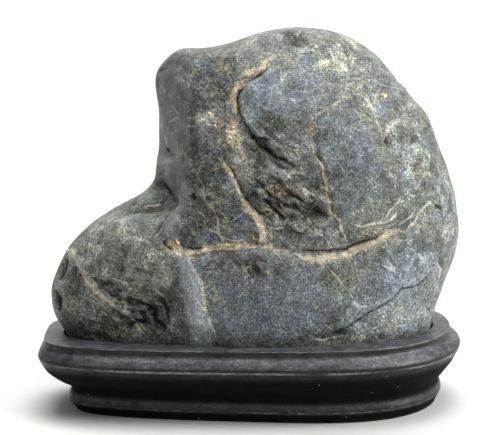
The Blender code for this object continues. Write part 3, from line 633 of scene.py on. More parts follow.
def line_distance(spots, line):
    """Signed distance from each spot to an open line, and a share that fades at the line's ends."""
    knots = np.array(line)
    lengths = np.linalg.norm(np.diff(knots, axis=0), axis=1)
    starts = np.concatenate(([0.0], np.cumsum(lengths)))
    nearest = np.full(len(spots), np.inf)
    side = np.ones(len(spots))
    along = np.zeros(len(spots))
    for index, length in enumerate(lengths):
        step = (knots[index + 1] - knots[index]) / length
        offset = spots - knots[index]
        travel = np.clip(offset @ step, 0.0, length)
        gap = np.linalg.norm(offset - travel[:, None] * step, axis=1)
        closer = gap < nearest
        nearest[closer] = gap[closer]
        cross = step[0] * offset[:, 1] - step[1] * offset[:, 0]
        side[closer] = np.where(cross[closer] < 0.0, -1.0, 1.0)
        along[closer] = (starts[index] + travel)[closer]
    share = along / starts[-1]
    fade = smoothstep(0.0, END_FADE, share) * smoothstep(0.0, END_FADE, 1.0 - share)
    return nearest * side, fade


def relief(spots, ledges, creases, hollows):
    """Height that the drawn ledges, creases and hollows add at each spot of a sheet."""
    height = np.zeros(len(spots))
    for line, proud_side, rise, sharpness, reach in ledges:
        distance, fade = line_distance(spots, line)
        proud = distance * proud_side
        shape = (0.5 + 0.5 * np.tanh(proud / sharpness)) * np.exp(-np.maximum(proud, 0.0) / reach)
        height += rise * fade * shape
    for line, rise, half_width in creases:
        distance, fade = line_distance(spots, line)
        height += rise * fade * np.exp(-(distance / half_width) ** 2)
    for middle, half_width, half_height, rise in hollows:
        offset = (spots - np.array(middle)) / np.array((half_width, half_height))
        height += rise * np.exp(-np.sum(offset ** 2, axis=1))
    return height


def field(places, size, shift=0.0):
    """Smooth noise of the given lump size at each place, from about -1 to 1."""
    push = SEED_SHIFT + Vector((shift, -shift, 2.0 * shift))
    return np.array([noise.noise(Vector(place) * (1.0 / size) + push) for place in places])


def read_vectors(points, name):
    """One vector of each of a mesh's points, as an array."""
    flat = np.empty(len(points) * 3)
    points.foreach_get(name, flat)
    return flat.reshape(-1, 3)


def mesh_places(mesh):
    """The mesh's points, in millimetres."""
    return read_vectors(mesh.vertices, "co") / MM


def mesh_normals(mesh):
    """Outward directions at the mesh's points."""
    return read_vectors(mesh.vertex_normals, "vector")


def set_places(mesh, places):
    """Moves the mesh's points, given in millimetres."""
    mesh.vertices.foreach_set("co", (places * MM).ravel())
    mesh.update()


def set_attribute(mesh, name, values):
    """Stores one number at each point of the mesh."""
    attribute = mesh.attributes.new(name, "FLOAT", "POINT")
    attribute.data.foreach_set("value", np.asarray(values, dtype=np.float32))


def add_object(name, data):
    """A new object of the scene."""
    thing = bpy.data.objects.new(name, data)
    bpy.context.collection.objects.link(thing)
    return thing

# ---- Stone: the plain form, as in the solids ---------------------------------------------------------
STONE_EDGE = 1.26                # edge length of the fine surface
START_SUBDIVISIONS = 7
FARTHEST = 400.0                 # longer than any way out of the stone
HALVINGS = 34
LEAST_FACING = 0.05              # a flat or the foot cuts only directions that face it more than this
NO_CUT = 1000.0
NEARLY_ZERO = 1e-9


def outline_radius(angles):
    """Distance from the stone's middle to its outline, in each direction of the outline's plane."""
    knots = np.array(OUTLINE) - np.array((STONE_MIDDLE.x, STONE_MIDDLE.z))
    turns = np.unwrap(np.arctan2(knots[:, 1], knots[:, 0]))
    turns = np.concatenate((turns - 2.0 * math.pi, turns, turns + 2.0 * math.pi))
    radii = np.tile(np.linalg.norm(knots, axis=1), 3)
    slopes = np.gradient(radii, turns)
    index = np.clip(np.searchsorted(turns, angles) - 1, 0, len(turns) - 2)
    span = turns[index + 1] - turns[index]
    share = (angles - turns[index]) / span
    return curve(share, span, radii[index], slopes[index], radii[index + 1], slopes[index + 1])


def depth_at(across, up, is_back):
    """Depth of the stone's full body at a place of the outline's plane, on one side of it."""
    total = np.zeros(len(across))
    weights = np.full(len(across), NEARLY_ZERO)
    for x, z, front, back in DEPTHS:
        weight = np.exp(-((across - x) ** 2 + (up - z) ** 2) / (2.0 * DEPTH_BLEND ** 2))
        total += weight * np.where(is_back, back, front)
        weights += weight
    return total / weights


def body_reach(directions):
    """Distance from the stone's middle to its rounded body in each direction, found by halving."""
    flat_length = np.hypot(directions[:, 0], directions[:, 2])
    edge = outline_radius(np.arctan2(directions[:, 2], directions[:, 0]))
    low = np.zeros(len(directions))
    high = np.minimum(edge / np.maximum(flat_length, NEARLY_ZERO), FARTHEST)
    for _ in range(HALVINGS):
        middle = 0.5 * (low + high)
        place = directions * middle[:, None]
        share = np.minimum(middle * flat_length / edge, 1.0)
        across, up = place[:, 0] + STONE_MIDDLE.x, place[:, 2] + STONE_MIDDLE.z
        depth = depth_at(across, up, directions[:, 1] > 0.0)
        body = depth * (1.0 - share ** EDGE_POWER) ** (1.0 / FALL_POWER)
        inside = np.abs(place[:, 1]) < body
        low = np.where(inside, middle, low)
        high = np.where(inside, high, middle)
    return low


def stone_reach(directions):
    """Distance from the stone's middle to its plain form: the body, its flats and its foot."""
    reach = body_reach(directions)
    heights = STONE_MIDDLE.z + reach * directions[:, 2]
    for direction, distance, roundness, lowest in FLATS:
        facing = directions @ np.array(Vector(direction).normalized())
        cut = np.where(facing > LEAST_FACING, distance / np.maximum(facing, LEAST_FACING), NO_CUT)
        cut += FLAT_RELEASE * (1.0 - smoothstep(lowest - FLAT_FADE, lowest, heights))
        reach = smooth_lower(reach, cut, roundness)
    facing_down = -directions[:, 2]
    foot = (STONE_MIDDLE.z - STONE_FOOT) / np.maximum(facing_down, LEAST_FACING)
    foot = np.where(facing_down > LEAST_FACING, foot, NO_CUT)
    return smooth_lower(reach, foot, FOOT_ROUNDNESS)


def plain_places(directions):
    """The plain form's points in the given directions from the stone's middle."""
    return directions * stone_reach(directions)[:, None] + np.array(STONE_MIDDLE)


def even_stone_mesh():
    """The stone's plain form as an even fine mesh."""
    work = bmesh.new()
    bmesh.ops.create_icosphere(work, subdivisions=START_SUBDIVISIONS, radius=1.0)
    directions = np.array([vert.co[:] for vert in work.verts])
    start = bpy.data.meshes.new("stone_start")
    work.to_mesh(start)
    work.free()
    set_places(start, plain_places(directions))
    holder = add_object("stone_start", start)
    even = holder.modifiers.new("even", "REMESH")
    even.mode = "VOXEL"
    even.voxel_size = STONE_EDGE * MM
    evaluated = holder.evaluated_get(bpy.context.evaluated_depsgraph_get())
    mesh = bpy.data.meshes.new_from_object(evaluated)
    bpy.data.objects.remove(holder)
    bpy.data.meshes.remove(start)
    offset = mesh_places(mesh) - np.array(STONE_MIDDLE)
    set_places(mesh, plain_places(offset / np.linalg.norm(offset, axis=1)[:, None]))
    return mesh

# ---- Stone: relief and marks -------------------------------------------------------------------------
def sheet_spots(places):
    """Where the straight lines from the viewing point to the places cross the upright sheet."""
    offset = places - np.array(SHEET_MIDDLE)
    scale = VIEW_DISTANCE / (VIEW_DISTANCE - offset @ np.array(TO_EYE))
    return np.column_stack((offset[:, 0] * scale, offset @ np.array(SHEET_UP) * scale))


def wandered(spots, reach, size, seeds):
    """The spots of a sheet moved about, so that what is drawn there runs unevenly."""
    moves = [[noise.noise(Vector((x / size, y / size, seed))) for x, y in spots] for seed in seeds]
    return spots + reach * np.column_stack(moves)


class Surface:
    """The plain form's points, and how each of them is seen and drawn on."""

    def __init__(self, mesh):
        self.places = mesh_places(mesh)
        self.normals = mesh_normals(mesh)
        facing = self.normals @ np.array(TO_EYE)
        self.at_edge = np.exp(-(facing / EDGE_BREADTH) ** 2)
        self.drawn_front = smoothstep(*DRAWN_RAMP, facing)
        self.to_front = smoothstep(*SIDE_RAMP, -self.normals[:, 1])
        self.to_back = smoothstep(*SIDE_RAMP, self.normals[:, 1])
        self.spots = sheet_spots(self.places)
        self.fine_spots = wandered(self.spots, *FINE_WANDER)
        self.ragged_spots = wandered(self.spots, *RAGGED_WANDER)
        self.back_spots = wandered(self.places[:, [0, 2]], *BACK_WANDER)


def large_relief(surface):
    """Height of the ledges, creases, hollows and swells. The silhouette runs smoother."""
    height = surface.to_front * relief(surface.ragged_spots, LEDGES, CREASES, HOLLOWS)
    height += surface.to_back * relief(surface.back_spots, BACK_LEDGES, BACK_CREASES, BACK_HOLLOWS)
    for rise, size in SWELLS:
        damping = EDGE_DAMPING if size < SMALL_SWELL else 0.0
        height += rise * field(surface.places, size) * (1.0 - damping * surface.at_edge)
    return height


def patches(spots, marks):
    """Strength of a set of soft patches given in photograph pixels."""
    total = np.zeros(len(spots))
    for x, y, half_width, half_height, strength in marks.values():
        middle = np.array(drawn((x, y))[0])
        offset = (spots - middle) * PHOTO_SCALE / np.array((half_width, half_height))
        total = np.maximum(total, strength * np.exp(-PATCH_FALL * np.sum(offset ** 2, axis=1)))
    return total


def unseen_patches(surface):
    """Patches for what the photograph doesn't show."""
    large = 0.5 + 0.6 * field(surface.places, *UNSEEN_LARGE)
    middle = 0.5 + 0.6 * field(surface.places, *UNSEEN_MIDDLE)
    rough = smoothstep(0.1, 0.5, field(surface.places, *UNSEEN_ROUGH))
    return {
        "blue": smoothstep(0.3, 0.9, large),
        "light": 0.6 * smoothstep(0.7, 1.0, middle * large * 1.6),
        "dark": 0.7 * smoothstep(0.55, 1.0, middle),
        "pale": 0.7 * smoothstep(0.6, 1.0, 1.0 - middle),
        "warm": 0.7 * smoothstep(0.75, 1.05, large * middle * 1.6),
        "green": smoothstep(0.4, 0.9, 1.0 - large),
        "rough": 0.5 * surface.to_back * rough,
        "cell": np.zeros(len(large)),
        "smooth": np.zeros(len(large)),
    }


def nearest_stroke(spots, strokes):
    """For each spot, the distance to the nearest stroke, and that stroke's width and looks."""
    best = np.full(len(spots), NO_STROKE)
    found = {"distance": best.copy()}
    for look in ("width", "warmth", "strength"):
        found[look] = np.zeros(len(spots))
    for stroke in strokes:
        distance, fade = line_distance(spots, stroke.line)
        score = np.abs(distance) - stroke.half_width
        closer = score < best
        best[closer] = score[closer]
        found["distance"][closer] = distance[closer]
        taper = (END_WIDTH + (1.0 - END_WIDTH) * fade) * (fade > 0.0)
        found["width"][closer] = (stroke.half_width * taper)[closer]
        found["warmth"][closer] = stroke.warmth
        found["strength"][closer] = stroke.strength
    return found


def back_strokes():
    """Veins of the unseen back, which follow its ledges and creases."""
    lines = [drawing[0] for drawing in BACK_LEDGES + BACK_CREASES]
    looks = [BACK_VEIN_LOOKS[index % len(BACK_VEIN_LOOKS)] for index in range(len(lines))]
    return [Stroke(line, *look) for line, look in zip(lines, looks)]


def lay_bands(surface, marks):
    """Writes the raised bands into the marks and gives their height."""
    height = np.zeros(len(surface.spots))
    for band in BANDS.values():
        distance, fade = line_distance(surface.spots, band.line)
        share = surface.drawn_front * fade * np.exp(-(distance / band.half_width) ** 4)
        marks["smooth"] = np.maximum(marks["smooth"], share * band.warmth)
        marks["light"] = np.maximum(marks["light"], share * band.strength)
        marks["dark"] *= 1.0 - share
        height += band.rise * share
    return height


def lay_strokes(surface, marks, behind):
    """Writes the veins, hairs and cracks into the marks."""
    seen = surface.drawn_front > SEEN_FROM
    strokes = {
        "vein": (VEINS, behind[:4], 0.0),
        "hair": (HAIRS, behind[4:], 0.0),
        "crack": (CRACKS, behind[1:3], BACK_CRACK_SHIFT),
    }
    for name, (front_strokes, rear_strokes, shift) in strokes.items():
        front = nearest_stroke(surface.fine_spots, front_strokes.values())
        rear = nearest_stroke(surface.back_spots + shift, rear_strokes)
        for look in front:
            marks[name + "_" + look] = np.where(seen, front[look], rear[look])
        marks[name + "_width"] = marks[name + "_width"] * (seen | (surface.to_back > 0.5))


def stroke_relief(spots, strokes, spread, lumps=1.0):
    """Height of a set of strokes."""
    height = np.zeros(len(spots))
    for stroke in strokes:
        if stroke.rise > LEAST_RISE:
            distance, fade = line_distance(spots, stroke.line)
            shape = np.exp(-(np.abs(distance) / (stroke.half_width + spread)) ** 3)
            height += stroke.rise * fade * shape * lumps
    return height


def fine_relief(surface, marks, behind):
    """Height of veins, cracks, strata and grain."""
    places = surface.places
    lumps = 1.0 + 0.45 * field(places, *VEIN_LUMPS)
    veins = stroke_relief(surface.fine_spots, VEINS.values(), VEIN_SPREAD, lumps)
    cracks = stroke_relief(surface.fine_spots, CRACKS.values(), CRACK_SPREAD)
    back_veins = stroke_relief(surface.back_spots, behind[:4], VEIN_SPREAD, lumps)
    height = surface.drawn_front * (veins - cracks) + surface.to_back * back_veins
    strata = places @ np.array(Matrix.Rotation(STRATA_TURN, 3, "Y")) * np.array(STRATA_STRETCH)
    for rise, proud, size, shift in STRATA_RIDGES:
        height += marks["rough"] ** 2 * (rise * (proud - np.abs(field(strata, size, shift))))
    quiet = np.clip(1.0 - marks["smooth"] - 0.5 * marks["blue"], 0.0, 1.0)
    quiet *= 1.0 - FINE_EDGE_DAMPING * surface.at_edge
    for rise, size, shift in PITTING:
        height += quiet * rise * field(places, size, shift)
    return height


def hollowness(mesh, places, normals, rounds):
    """How far each point lies below the surface as it would be if smoothed this many times."""
    edges = np.empty(len(mesh.edges) * 2, dtype=np.int32)
    mesh.edges.foreach_get("vertices", edges)
    first, second = edges[0::2], edges[1::2]
    count = len(places)
    degree = np.bincount(first, minlength=count) + np.bincount(second, minlength=count)
    smooth = places.copy()
    for _ in range(rounds):
        for axis in range(3):
            column = smooth[:, axis]
            total = np.bincount(first, weights=column[second], minlength=count)
            total += np.bincount(second, weights=column[first], minlength=count)
            smooth[:, axis] = 0.5 * column + 0.5 * total / degree
    return np.sum((smooth - places) * normals, axis=1)


def stone_piece():
    """The stone with its fine relief, and with the marks that its material reads."""
    mesh = even_stone_mesh()
    surface = Surface(mesh)
    height = large_relief(surface)
    unseen = unseen_patches(surface)
    marks = {}
    for name, drawn_patches in PATCHES.items():
        marks[name] = surface.drawn_front * patches(surface.spots, drawn_patches)
        marks[name] += (1.0 - surface.drawn_front) * unseen[name]
    behind = back_strokes()
    height += lay_bands(surface, marks)
    lay_strokes(surface, marks, behind)
    height += fine_relief(surface, marks, behind)
    above_foot = smoothstep(*FOOT_RAMP, surface.places[:, 2] - STONE_FOOT)
    places = surface.places + surface.normals * (height * above_foot)[:, None]
    set_places(mesh, places)

    normals = mesh_normals(mesh)
    # How hollow each point is; the material paints shade in the hollows from these.
    marks["cavity"] = hollowness(mesh, places, normals, CAVITY_ROUNDS)
    marks["broad_cavity"] = hollowness(mesh, places, normals, BROAD_CAVITY_ROUNDS)
    for name, values in marks.items():
        set_attribute(mesh, name, values)
    mesh.shade_smooth()
    mesh.materials.append(stone_material())
    piece = add_object("stone_surface", mesh)
    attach(piece, "root")
    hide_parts("stone")
    return piece

# ---- Stand -------------------------------------------------------------------------------------------
def plan_shares():
    """Points around the nose, as shares of its half length and of its half depth there."""
    turns = 2.0 * math.pi * np.arange(STAND_STATIONS) / STAND_STATIONS
    blunt = 0.5 - 0.5 * np.cos(turns)
    power = RIGHT_END_SQUARENESS + (LEFT_END_SQUARENESS - RIGHT_END_SQUARENESS) * blunt
    scale = (np.abs(np.cos(turns)) ** power + np.abs(np.sin(turns)) ** power) ** (-1.0 / power)
    return scale * np.cos(turns), scale * np.sin(turns)


def fine_profile():
    """The moulding's rows at even fine steps, and how far along it each is from the nearest arris."""
    rows = np.array([row[:4] for row in MOULDING])
    corner = np.array([row[4] for row in MOULDING], dtype=bool)
    reach = np.linalg.norm(np.diff(rows[:, [1, 2]], axis=0), axis=1)
    knots = np.concatenate(([0.0], np.cumsum(reach)))
    slopes = np.zeros_like(rows)
    slopes[1:-1] = (rows[2:] - rows[:-2]) / (knots[2:] - knots[:-2])[:, None]
    fine, places = [rows[0]], [0.0]
    for index, span in enumerate(np.diff(knots)):
        chord = (rows[index + 1] - rows[index]) / span
        start = chord if corner[index] else slopes[index]
        end = chord if corner[index + 1] else slopes[index + 1]
        count = max(2, round(span / PROFILE_STEP))
        for step in range(1, count + 1):
            share = step / count
            fine.append(curve(share, span, rows[index], start, rows[index + 1], end))
            places.append(knots[index] + share * span)
    fine = np.array(fine)
    fine[1:-1] = 0.25 * fine[:-2] + 0.5 * fine[1:-1] + 0.25 * fine[2:]
    arrises = knots[corner][:-1]
    return fine, np.min(np.abs(np.array(places)[:, None] - arrises), axis=1)


def seat_radius(stone, angles):
    """How far from the stand's middle the seat's edge runs, in each direction."""
    places = mesh_places(stone.data)
    near = places[(places[:, 2] > SEATED_FROM) & (places[:, 2] < SEATED_TO)]
    turns = np.arctan2(near[:, 1], near[:, 0])
    sector = ((turns + math.pi) / (2.0 * math.pi) * SEAT_SECTORS).astype(int) % SEAT_SECTORS
    edge = np.zeros(SEAT_SECTORS)
    np.maximum.at(edge, sector, np.hypot(near[:, 0], near[:, 1]))
    edge = np.maximum(edge, 0.5 * (np.roll(edge, 1) + np.roll(edge, -1)))
    for _ in range(2):
        edge = 0.25 * np.roll(edge, 1) + 0.5 * edge + 0.25 * np.roll(edge, -1)
    middles = (np.arange(SEAT_SECTORS) + 0.5) / SEAT_SECTORS * 2.0 * math.pi - math.pi
    return np.interp(angles, middles, edge, period=2.0 * math.pi) + SEAT_GAP


def moulding_rings():
    """The outside of the stand from the rim down, as rings of (x, y, height, distance to an arris)."""
    along, across = plan_shares()
    half_depth = STAND_HALF_DEPTH * (1.0 + STAND_DEPTH_GROWTH * along)
    rings = []
    for (end_inset, side_inset, height, growth), to_arris in zip(*fine_profile()):
        spread = 1.0 + growth * along
        x = along * (STAND_HALF_LENGTH - end_inset * spread)
        y = across * (half_depth - side_inset * spread)
        drop = RIM_EDGE_DROP if height > RIM_TOP - 0.01 else 0.0
        wear = to_arris + (FOOT_FAINTNESS if height < FOOT_HEIGHT else 0.0)
        rings.append((x, y, height - drop, wear))
    return rings


def inner_rings(seat_x, seat_y, rim_x, rim_y):
    """The seat's floor, wall and lip."""
    rings = [(seat_x * share, seat_y * share, SEAT_FLOOR, UNWORN) for share in SEAT_FLOOR_SHARES]
    rings += [(seat_x, seat_y, height, UNWORN) for height in SEAT_WALL_HEIGHTS]
    for share, drop in SEAT_LIP:
        x, y = seat_x + (rim_x - seat_x) * share, seat_y + (rim_y - seat_y) * share
        rings.append((x, y, RIM_TOP - drop, UNWORN))
    return rings


def rim_rings(seat_x, seat_y, rim_x, rim_y):
    """The flat rim, from the seat's lip to its outer edge."""
    width = float(np.mean(np.hypot(rim_x - seat_x, rim_y - seat_y)))
    rings = []
    for share in np.linspace(*RIM_SHARES):
        x, y = seat_x + (rim_x - seat_x) * share, seat_y + (rim_y - seat_y) * share
        rings.append((x, y, RIM_TOP - RIM_DROP, width * (1.0 - share)))
    return rings


def ring_mesh(name, places):
    """A skin over rings of points."""
    faces = []
    for low in range(0, len(places) - STAND_STATIONS, STAND_STATIONS):
        high = low + STAND_STATIONS
        for index in range(STAND_STATIONS):
            following = (index + 1) % STAND_STATIONS
            faces.append((low + following, low + index, high + index, high + following))
    mesh = bpy.data.meshes.new(name)
    mesh.from_pydata((places * MM).tolist(), [], faces)
    mesh.update()
    return mesh


def carve(mesh, places, normals, outside):
    """Knife work: shallow facets and waves, all of them cut inwards."""
    carved = np.zeros(len(places))
    for share, size, flatness, shift in KNIFE_WORK:
        lumps = field(places * np.array((1.0, 1.0, flatness)), size, shift)
        carved += share * (0.5 + 0.5 * lumps)
    set_places(mesh, places - normals * (CARVE_DEPTH * carved * outside)[:, None])


def mark_stand(mesh, places, normals, outside, wear):
    """Stores what the stand's material reads: wear, dust with painted sheen, and painted shade under the
    nose and near the table.
    """
    level = np.clip(places[:, 2], 0.0, RIM_TOP)
    # Less dust and painted sheen at the ends, above all at the left one: painted shade of the ends.
    sheen_and_dust_share = 0.5 + 0.5 * smoothstep(*LEFT_SHEEN_AND_DUST, places[:, 0])
    sheen_and_dust_share -= 0.3 * smoothstep(*RIGHT_SHEEN_AND_DUST, places[:, 0])
    # Painted shade: darker from under the nose down to the foot, and on the foot's lower side near the
    # table.
    under_nose = smoothstep(*RECESS_TOP, level)
    above_foot = smoothstep(*RECESS_FOOT, level)
    near_table = smoothstep(*TABLE_SHADE, level)
    set_attribute(mesh, "arris", wear)
    set_attribute(mesh, "upward", normals[:, 2] * sheen_and_dust_share)
    set_attribute(mesh, "recess_shade", outside * np.maximum(under_nose * above_foot, near_table))


def close_skin(mesh):
    """Joins the points that meet and turns all faces outwards."""
    work = bmesh.new()
    work.from_mesh(mesh)
    bmesh.ops.remove_doubles(work, verts=work.verts, dist=JOIN_DISTANCE)
    bmesh.ops.recalc_face_normals(work, faces=work.faces)
    work.to_mesh(mesh)
    work.free()


def stand_piece(stone):
    """The carved stand: moulding, rim, seat and underside as one closed skin."""
    outer = moulding_rings()
    rim_x, rim_y = outer[0][:2]
    angles = np.arctan2(rim_y, rim_x)
    seat = seat_radius(stone, angles)
    edges = (seat * np.cos(angles), seat * np.sin(angles), rim_x, rim_y)
    inner = inner_rings(*edges)
    foot_x, foot_y = outer[-1][:2]
    under = [(foot_x * share, foot_y * share, 0.0, UNWORN) for share in UNDERSIDE_SHARES]
    rings = inner + rim_rings(*edges) + outer + under

    places = np.vstack([np.column_stack((x, y, np.full(len(x), z))) for x, y, z, _ in rings])
    wear = np.repeat([ring[3] for ring in rings], STAND_STATIONS)
    is_outer = np.arange(len(rings)) >= len(inner)
    mesh = ring_mesh("stand_carving", places)
    normals = mesh_normals(mesh)
    outside = smoothstep(*CARVED_FROM, np.clip(places[:, 2], 0.0, RIM_TOP))
    outside = outside * np.repeat(is_outer, STAND_STATIONS)
    carve(mesh, places, normals, outside)
    mark_stand(mesh, places, normals, outside, wear)
    close_skin(mesh)
    mesh.shade_smooth()
    mesh.set_sharp_from_angle(angle=SHARP_ANGLE)
    mesh.materials.append(stand_material())
    piece = add_object("stand_carving", mesh)
    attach(piece, "root")
    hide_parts("stand")
    return piece

# ---- Material tools ----------------------------------------------------------------------------------
LEAST_SHADE = 0.15


class Value:
    """A number, colour or place that a node tree works out. Arithmetic on it adds nodes."""

    def __init__(self, recipe, socket):
        self.recipe = recipe
        self.socket = socket

    def __mul__(self, other):
        return self.recipe.math("MULTIPLY", self, other)

    def __add__(self, other):
        return self.recipe.math("ADD", self, other)

    def __sub__(self, other):
        return self.recipe.math("SUBTRACT", self, other)

    def __rsub__(self, other):
        return self.recipe.math("SUBTRACT", other, self)

    def __abs__(self):
        return self.recipe.math("ABSOLUTE", self)

    __rmul__ = __mul__
    __radd__ = __add__


class Recipe:
    """A material's node tree, written with short calls. Lengths in it are millimetres."""

    def __init__(self, name, first_colour):
        self.material = bpy.data.materials.new(name)
        self.material.use_nodes = True
        self.tree = self.material.node_tree
        place = self.node("TexCoord", "Object")
        self.place = self.node("VectorMath", 0, {0: place, "Scale": 1.0 / MM}, operation="SCALE")
        self.colour = first_colour

    def node(self, kind, output, inputs=None, **settings):
        """Adds a node, sets it up, and gives one of its outputs."""
        node = self.tree.nodes.new("ShaderNode" + kind)
        for name, value in settings.items():
            setattr(node, name, value)
        for name, value in (inputs or {}).items():
            self.feed(node.inputs[name], value)
        return Value(self, node.outputs[output])

    def feed(self, socket, value):
        """Sets a socket to a number or a colour, or links it."""
        if isinstance(value, Value):
            self.tree.links.new(value.socket, socket)
        elif socket.type == "RGBA":
            socket.default_value = (*value, 1.0)
        else:
            socket.default_value = value

    def finished(self, inputs):
        """The material, once its shader has been fed."""
        shader = self.tree.nodes["Principled BSDF"]
        for name, value in inputs.items():
            self.feed(shader.inputs[name], value)
        return self.material

    def math(self, operation, first, second=0.0):
        """Arithmetic on one or two numbers."""
        return self.node("Math", 0, {0: first, 1: second}, operation=operation)

    def larger(self, first, second):
        """The larger of two numbers."""
        return self.math("MAXIMUM", first, second)

    def ramp(self, value, low, high):
        """0 at low, 1 at high, smooth between; low may be the larger."""
        inputs = {"Value": value, "From Min": low, "From Max": high}
        return self.node("MapRange", "Result", inputs, interpolation_type="SMOOTHSTEP")

    def mix(self, share, first, second, blend="MIX"):
        """The first colour with a share of the second in it."""
        inputs = {0: share, 6: first, 7: second}
        return self.node("Mix", 2, inputs, data_type="RGBA", blend_type=blend, clamp_factor=True)

    def lay(self, share, colour):
        """Lays a colour over the ones laid before."""
        self.colour = self.mix(share, self.colour, colour)

    def shade(self, colour, factor):
        """The colour made lighter or darker."""
        grey = self.node("CombineColor", 0, {0: factor, 1: factor, 2: factor})
        return self.mix(1.0, colour, grey, "MULTIPLY")

    def split(self, colour, channel):
        """One channel of a colour."""
        return self.node("SeparateColor", channel, {0: colour})

    def stretched(self, stretch, turn=(0.0, 0.0, 0.0)):
        """The place for noise that is drawn out along turned axes (radians)."""
        inputs = {"Vector": self.place, "Rotation": turn, "Scale": stretch}
        return self.node("Mapping", 0, inputs, vector_type="TEXTURE")

    def noise(self, size, detail=2.0, roughness=0.5, distortion=0.0, place=None, output="Fac"):
        """Noise with lumps of about this size."""
        inputs = {"Vector": place or self.place, "Scale": 1.0 / size, "Detail": detail,
                  "Roughness": roughness, "Distortion": distortion}
        return self.node("TexNoise", output, inputs)

    def warped(self, size, reach, place=None):
        """The place pushed about by noise, for lines that wander."""
        pushes = self.noise(size, place=place, output="Color")
        centred = self.node("VectorMath", 0, {0: pushes, 1: (0.5, 0.5, 0.5)}, operation="SUBTRACT")
        inputs = {0: centred, 1: (reach, reach, reach), 2: place or self.place}
        return self.node("VectorMath", 0, inputs, operation="MULTIPLY_ADD")

    def cells(self, size, output="Distance", feature="F1", place=None):
        """Cells of about this size: the distance to their points, or a colour for each."""
        inputs = {"Vector": place or self.place, "Scale": 1.0 / size}
        return self.node("TexVoronoi", output, inputs, feature=feature)

    def seams(self, size, place, low, high):
        """Thin lines between cells; low and high are shares of the cells' size."""
        return self.ramp(self.cells(size, "Distance", "DISTANCE_TO_EDGE", place), low, high)

    def mark(self, name):
        """What the mesh says at each point."""
        return self.node("Attribute", "Fac", attribute_name=name)

    def around(self, value, gain):
        """A multiplier near 1 that follows noise and stays above a least shade."""
        return self.larger(value * gain + (1.0 - 0.5 * gain), LEAST_SHADE)

    def blotch(self, name, noise_value, gain, low, high):
        """A drawn patch whose edge is broken up by noise."""
        return self.ramp(self.mark(name) + (noise_value * gain - 0.5 * gain), low, high)

    def bump(self, height):
        """A bump map from a height in millimetres."""
        return self.node("Bump", "Normal", {"Strength": 1.0, "Distance": MM, "Height": height})

# ---- Stone material: layers laid one over the other --------------------------------------------------
# In what follows, m is the recipe and g holds the noises and masks that the layers share. Noises are
# named by size in millimetres, detail, roughness and distortion; a ramp by where it starts and ends.
BLUE_GREY = (0.112, 0.137, 0.157)
LIGHT_AND_LIT_BLUE = (0.190, 0.228, 0.245)
GREEN_GREY = (0.138, 0.157, 0.131)
PLAIN_GREY = (0.116, 0.127, 0.124)
LIGHT_AND_LIT_GREEN = (0.225, 0.242, 0.205)
PALE_BLUE_SHEEN = (0.285, 0.322, 0.345)
BAND_GREY = (0.086, 0.088, 0.086)
DARK_OLIVE = (0.033, 0.036, 0.031)
DARK_BLUE = (0.046, 0.054, 0.062)
CELL_BLUE = (0.070, 0.085, 0.097)
NEAR_BLACK = (0.010, 0.010, 0.009)
PALE_YELLOW = (0.355, 0.362, 0.270)
PALE_WHITE = (0.42, 0.46, 0.46)
BRIGHT_WHITE = (0.62, 0.66, 0.65)
CREAM = (0.68, 0.575, 0.400)
RUST = (0.33, 0.222, 0.108)
TAWNY = (0.17, 0.130, 0.070)


def stone_grain(m):
    """The noises and masks that the stone's layers share."""
    g = SimpleNamespace(
        big=m.noise(38.0, 3.0, 0.55),
        middle=m.noise(13.0, 3.0, 0.6),
        small=m.noise(3.6, 3.0, 0.65),
        tiny=m.noise(1.0, 3.0, 0.70),
        mottle=m.noise(9.0, 7.0, 0.80, 0.3),
        coarse=m.noise(1.7, 4.0, 0.8),
        crystal=m.cells(0.95, "Color"),
        strata=m.stretched((3.2, 1.4, 0.8), (0.1, 0.66, 0.0)),
        rough=m.mark("rough"),
        smooth=m.mark("smooth"),
    )
    g.blue = m.blotch("blue", g.middle, 1.8, 0.30, 0.70)
    g.dark = m.blotch("dark", m.noise(7.0, 6.0, 0.78), 3.4, 0.20, 0.85)
    g.cell = m.blotch("cell", g.mottle, 1.6, 0.35, 0.60)
    g.calm = 1.0 - 0.75 * g.cell
    g.plainness = 1.0 - 0.8 * g.smooth
    g.loud = 1.0 - 0.7 * m.larger(g.blue, g.smooth)
    g.harsh = m.larger(g.dark, g.rough) * g.plainness
    return g


def lay_ground(m, g):
    """Blue, green and plain greys in soft patches, and the smooth bands."""
    green = m.blotch("green", g.middle, 1.8, 0.30, 0.70)
    m.lay(m.ramp(g.big, 0.40, 0.60), GREEN_GREY)
    m.lay(green, GREEN_GREY)
    m.lay(g.blue * 0.9, BLUE_GREY)
    fibres = m.noise(1.6, 5.0, 0.75, 0.2, m.stretched((0.8, 1.0, 6.0)))
    m.lay(g.smooth * 0.7, m.shade(BAND_GREY, m.around(fibres, 5.0)))
    # Lighter patches, partly painted light and sheen; where strongest, a painted bluish sheen.
    m.lay(m.blotch("light", g.mottle, 2.2, 0.25, 0.85), m.mix(green, LIGHT_AND_LIT_BLUE, LIGHT_AND_LIT_GREEN))
    m.lay(m.blotch("light", g.mottle, 1.2, 0.80, 1.50), PALE_BLUE_SHEEN)


def lay_clouds(m, g):
    """Clouds of every size down to the grain, then dark ground with painted shade, brown, and calm blue
    ground.
    """
    cloud = m.around(g.middle, 1.8) * m.around(g.mottle, 4.8)
    m.lay(g.loud * 0.8 + 0.2, m.shade(m.colour, cloud))
    # Dark ground, partly painted shade.
    m.lay(g.dark * 0.82, m.mix(g.blue, DARK_OLIVE, DARK_BLUE))
    tawny = m.ramp(m.noise(10.0, 6.0, 0.75, 0.4), 0.53, 0.64)
    m.lay(tawny * g.loud * 0.5, TAWNY)
    m.lay(g.cell * 0.85, m.shade(CELL_BLUE, m.around(g.mottle, 4.0)))


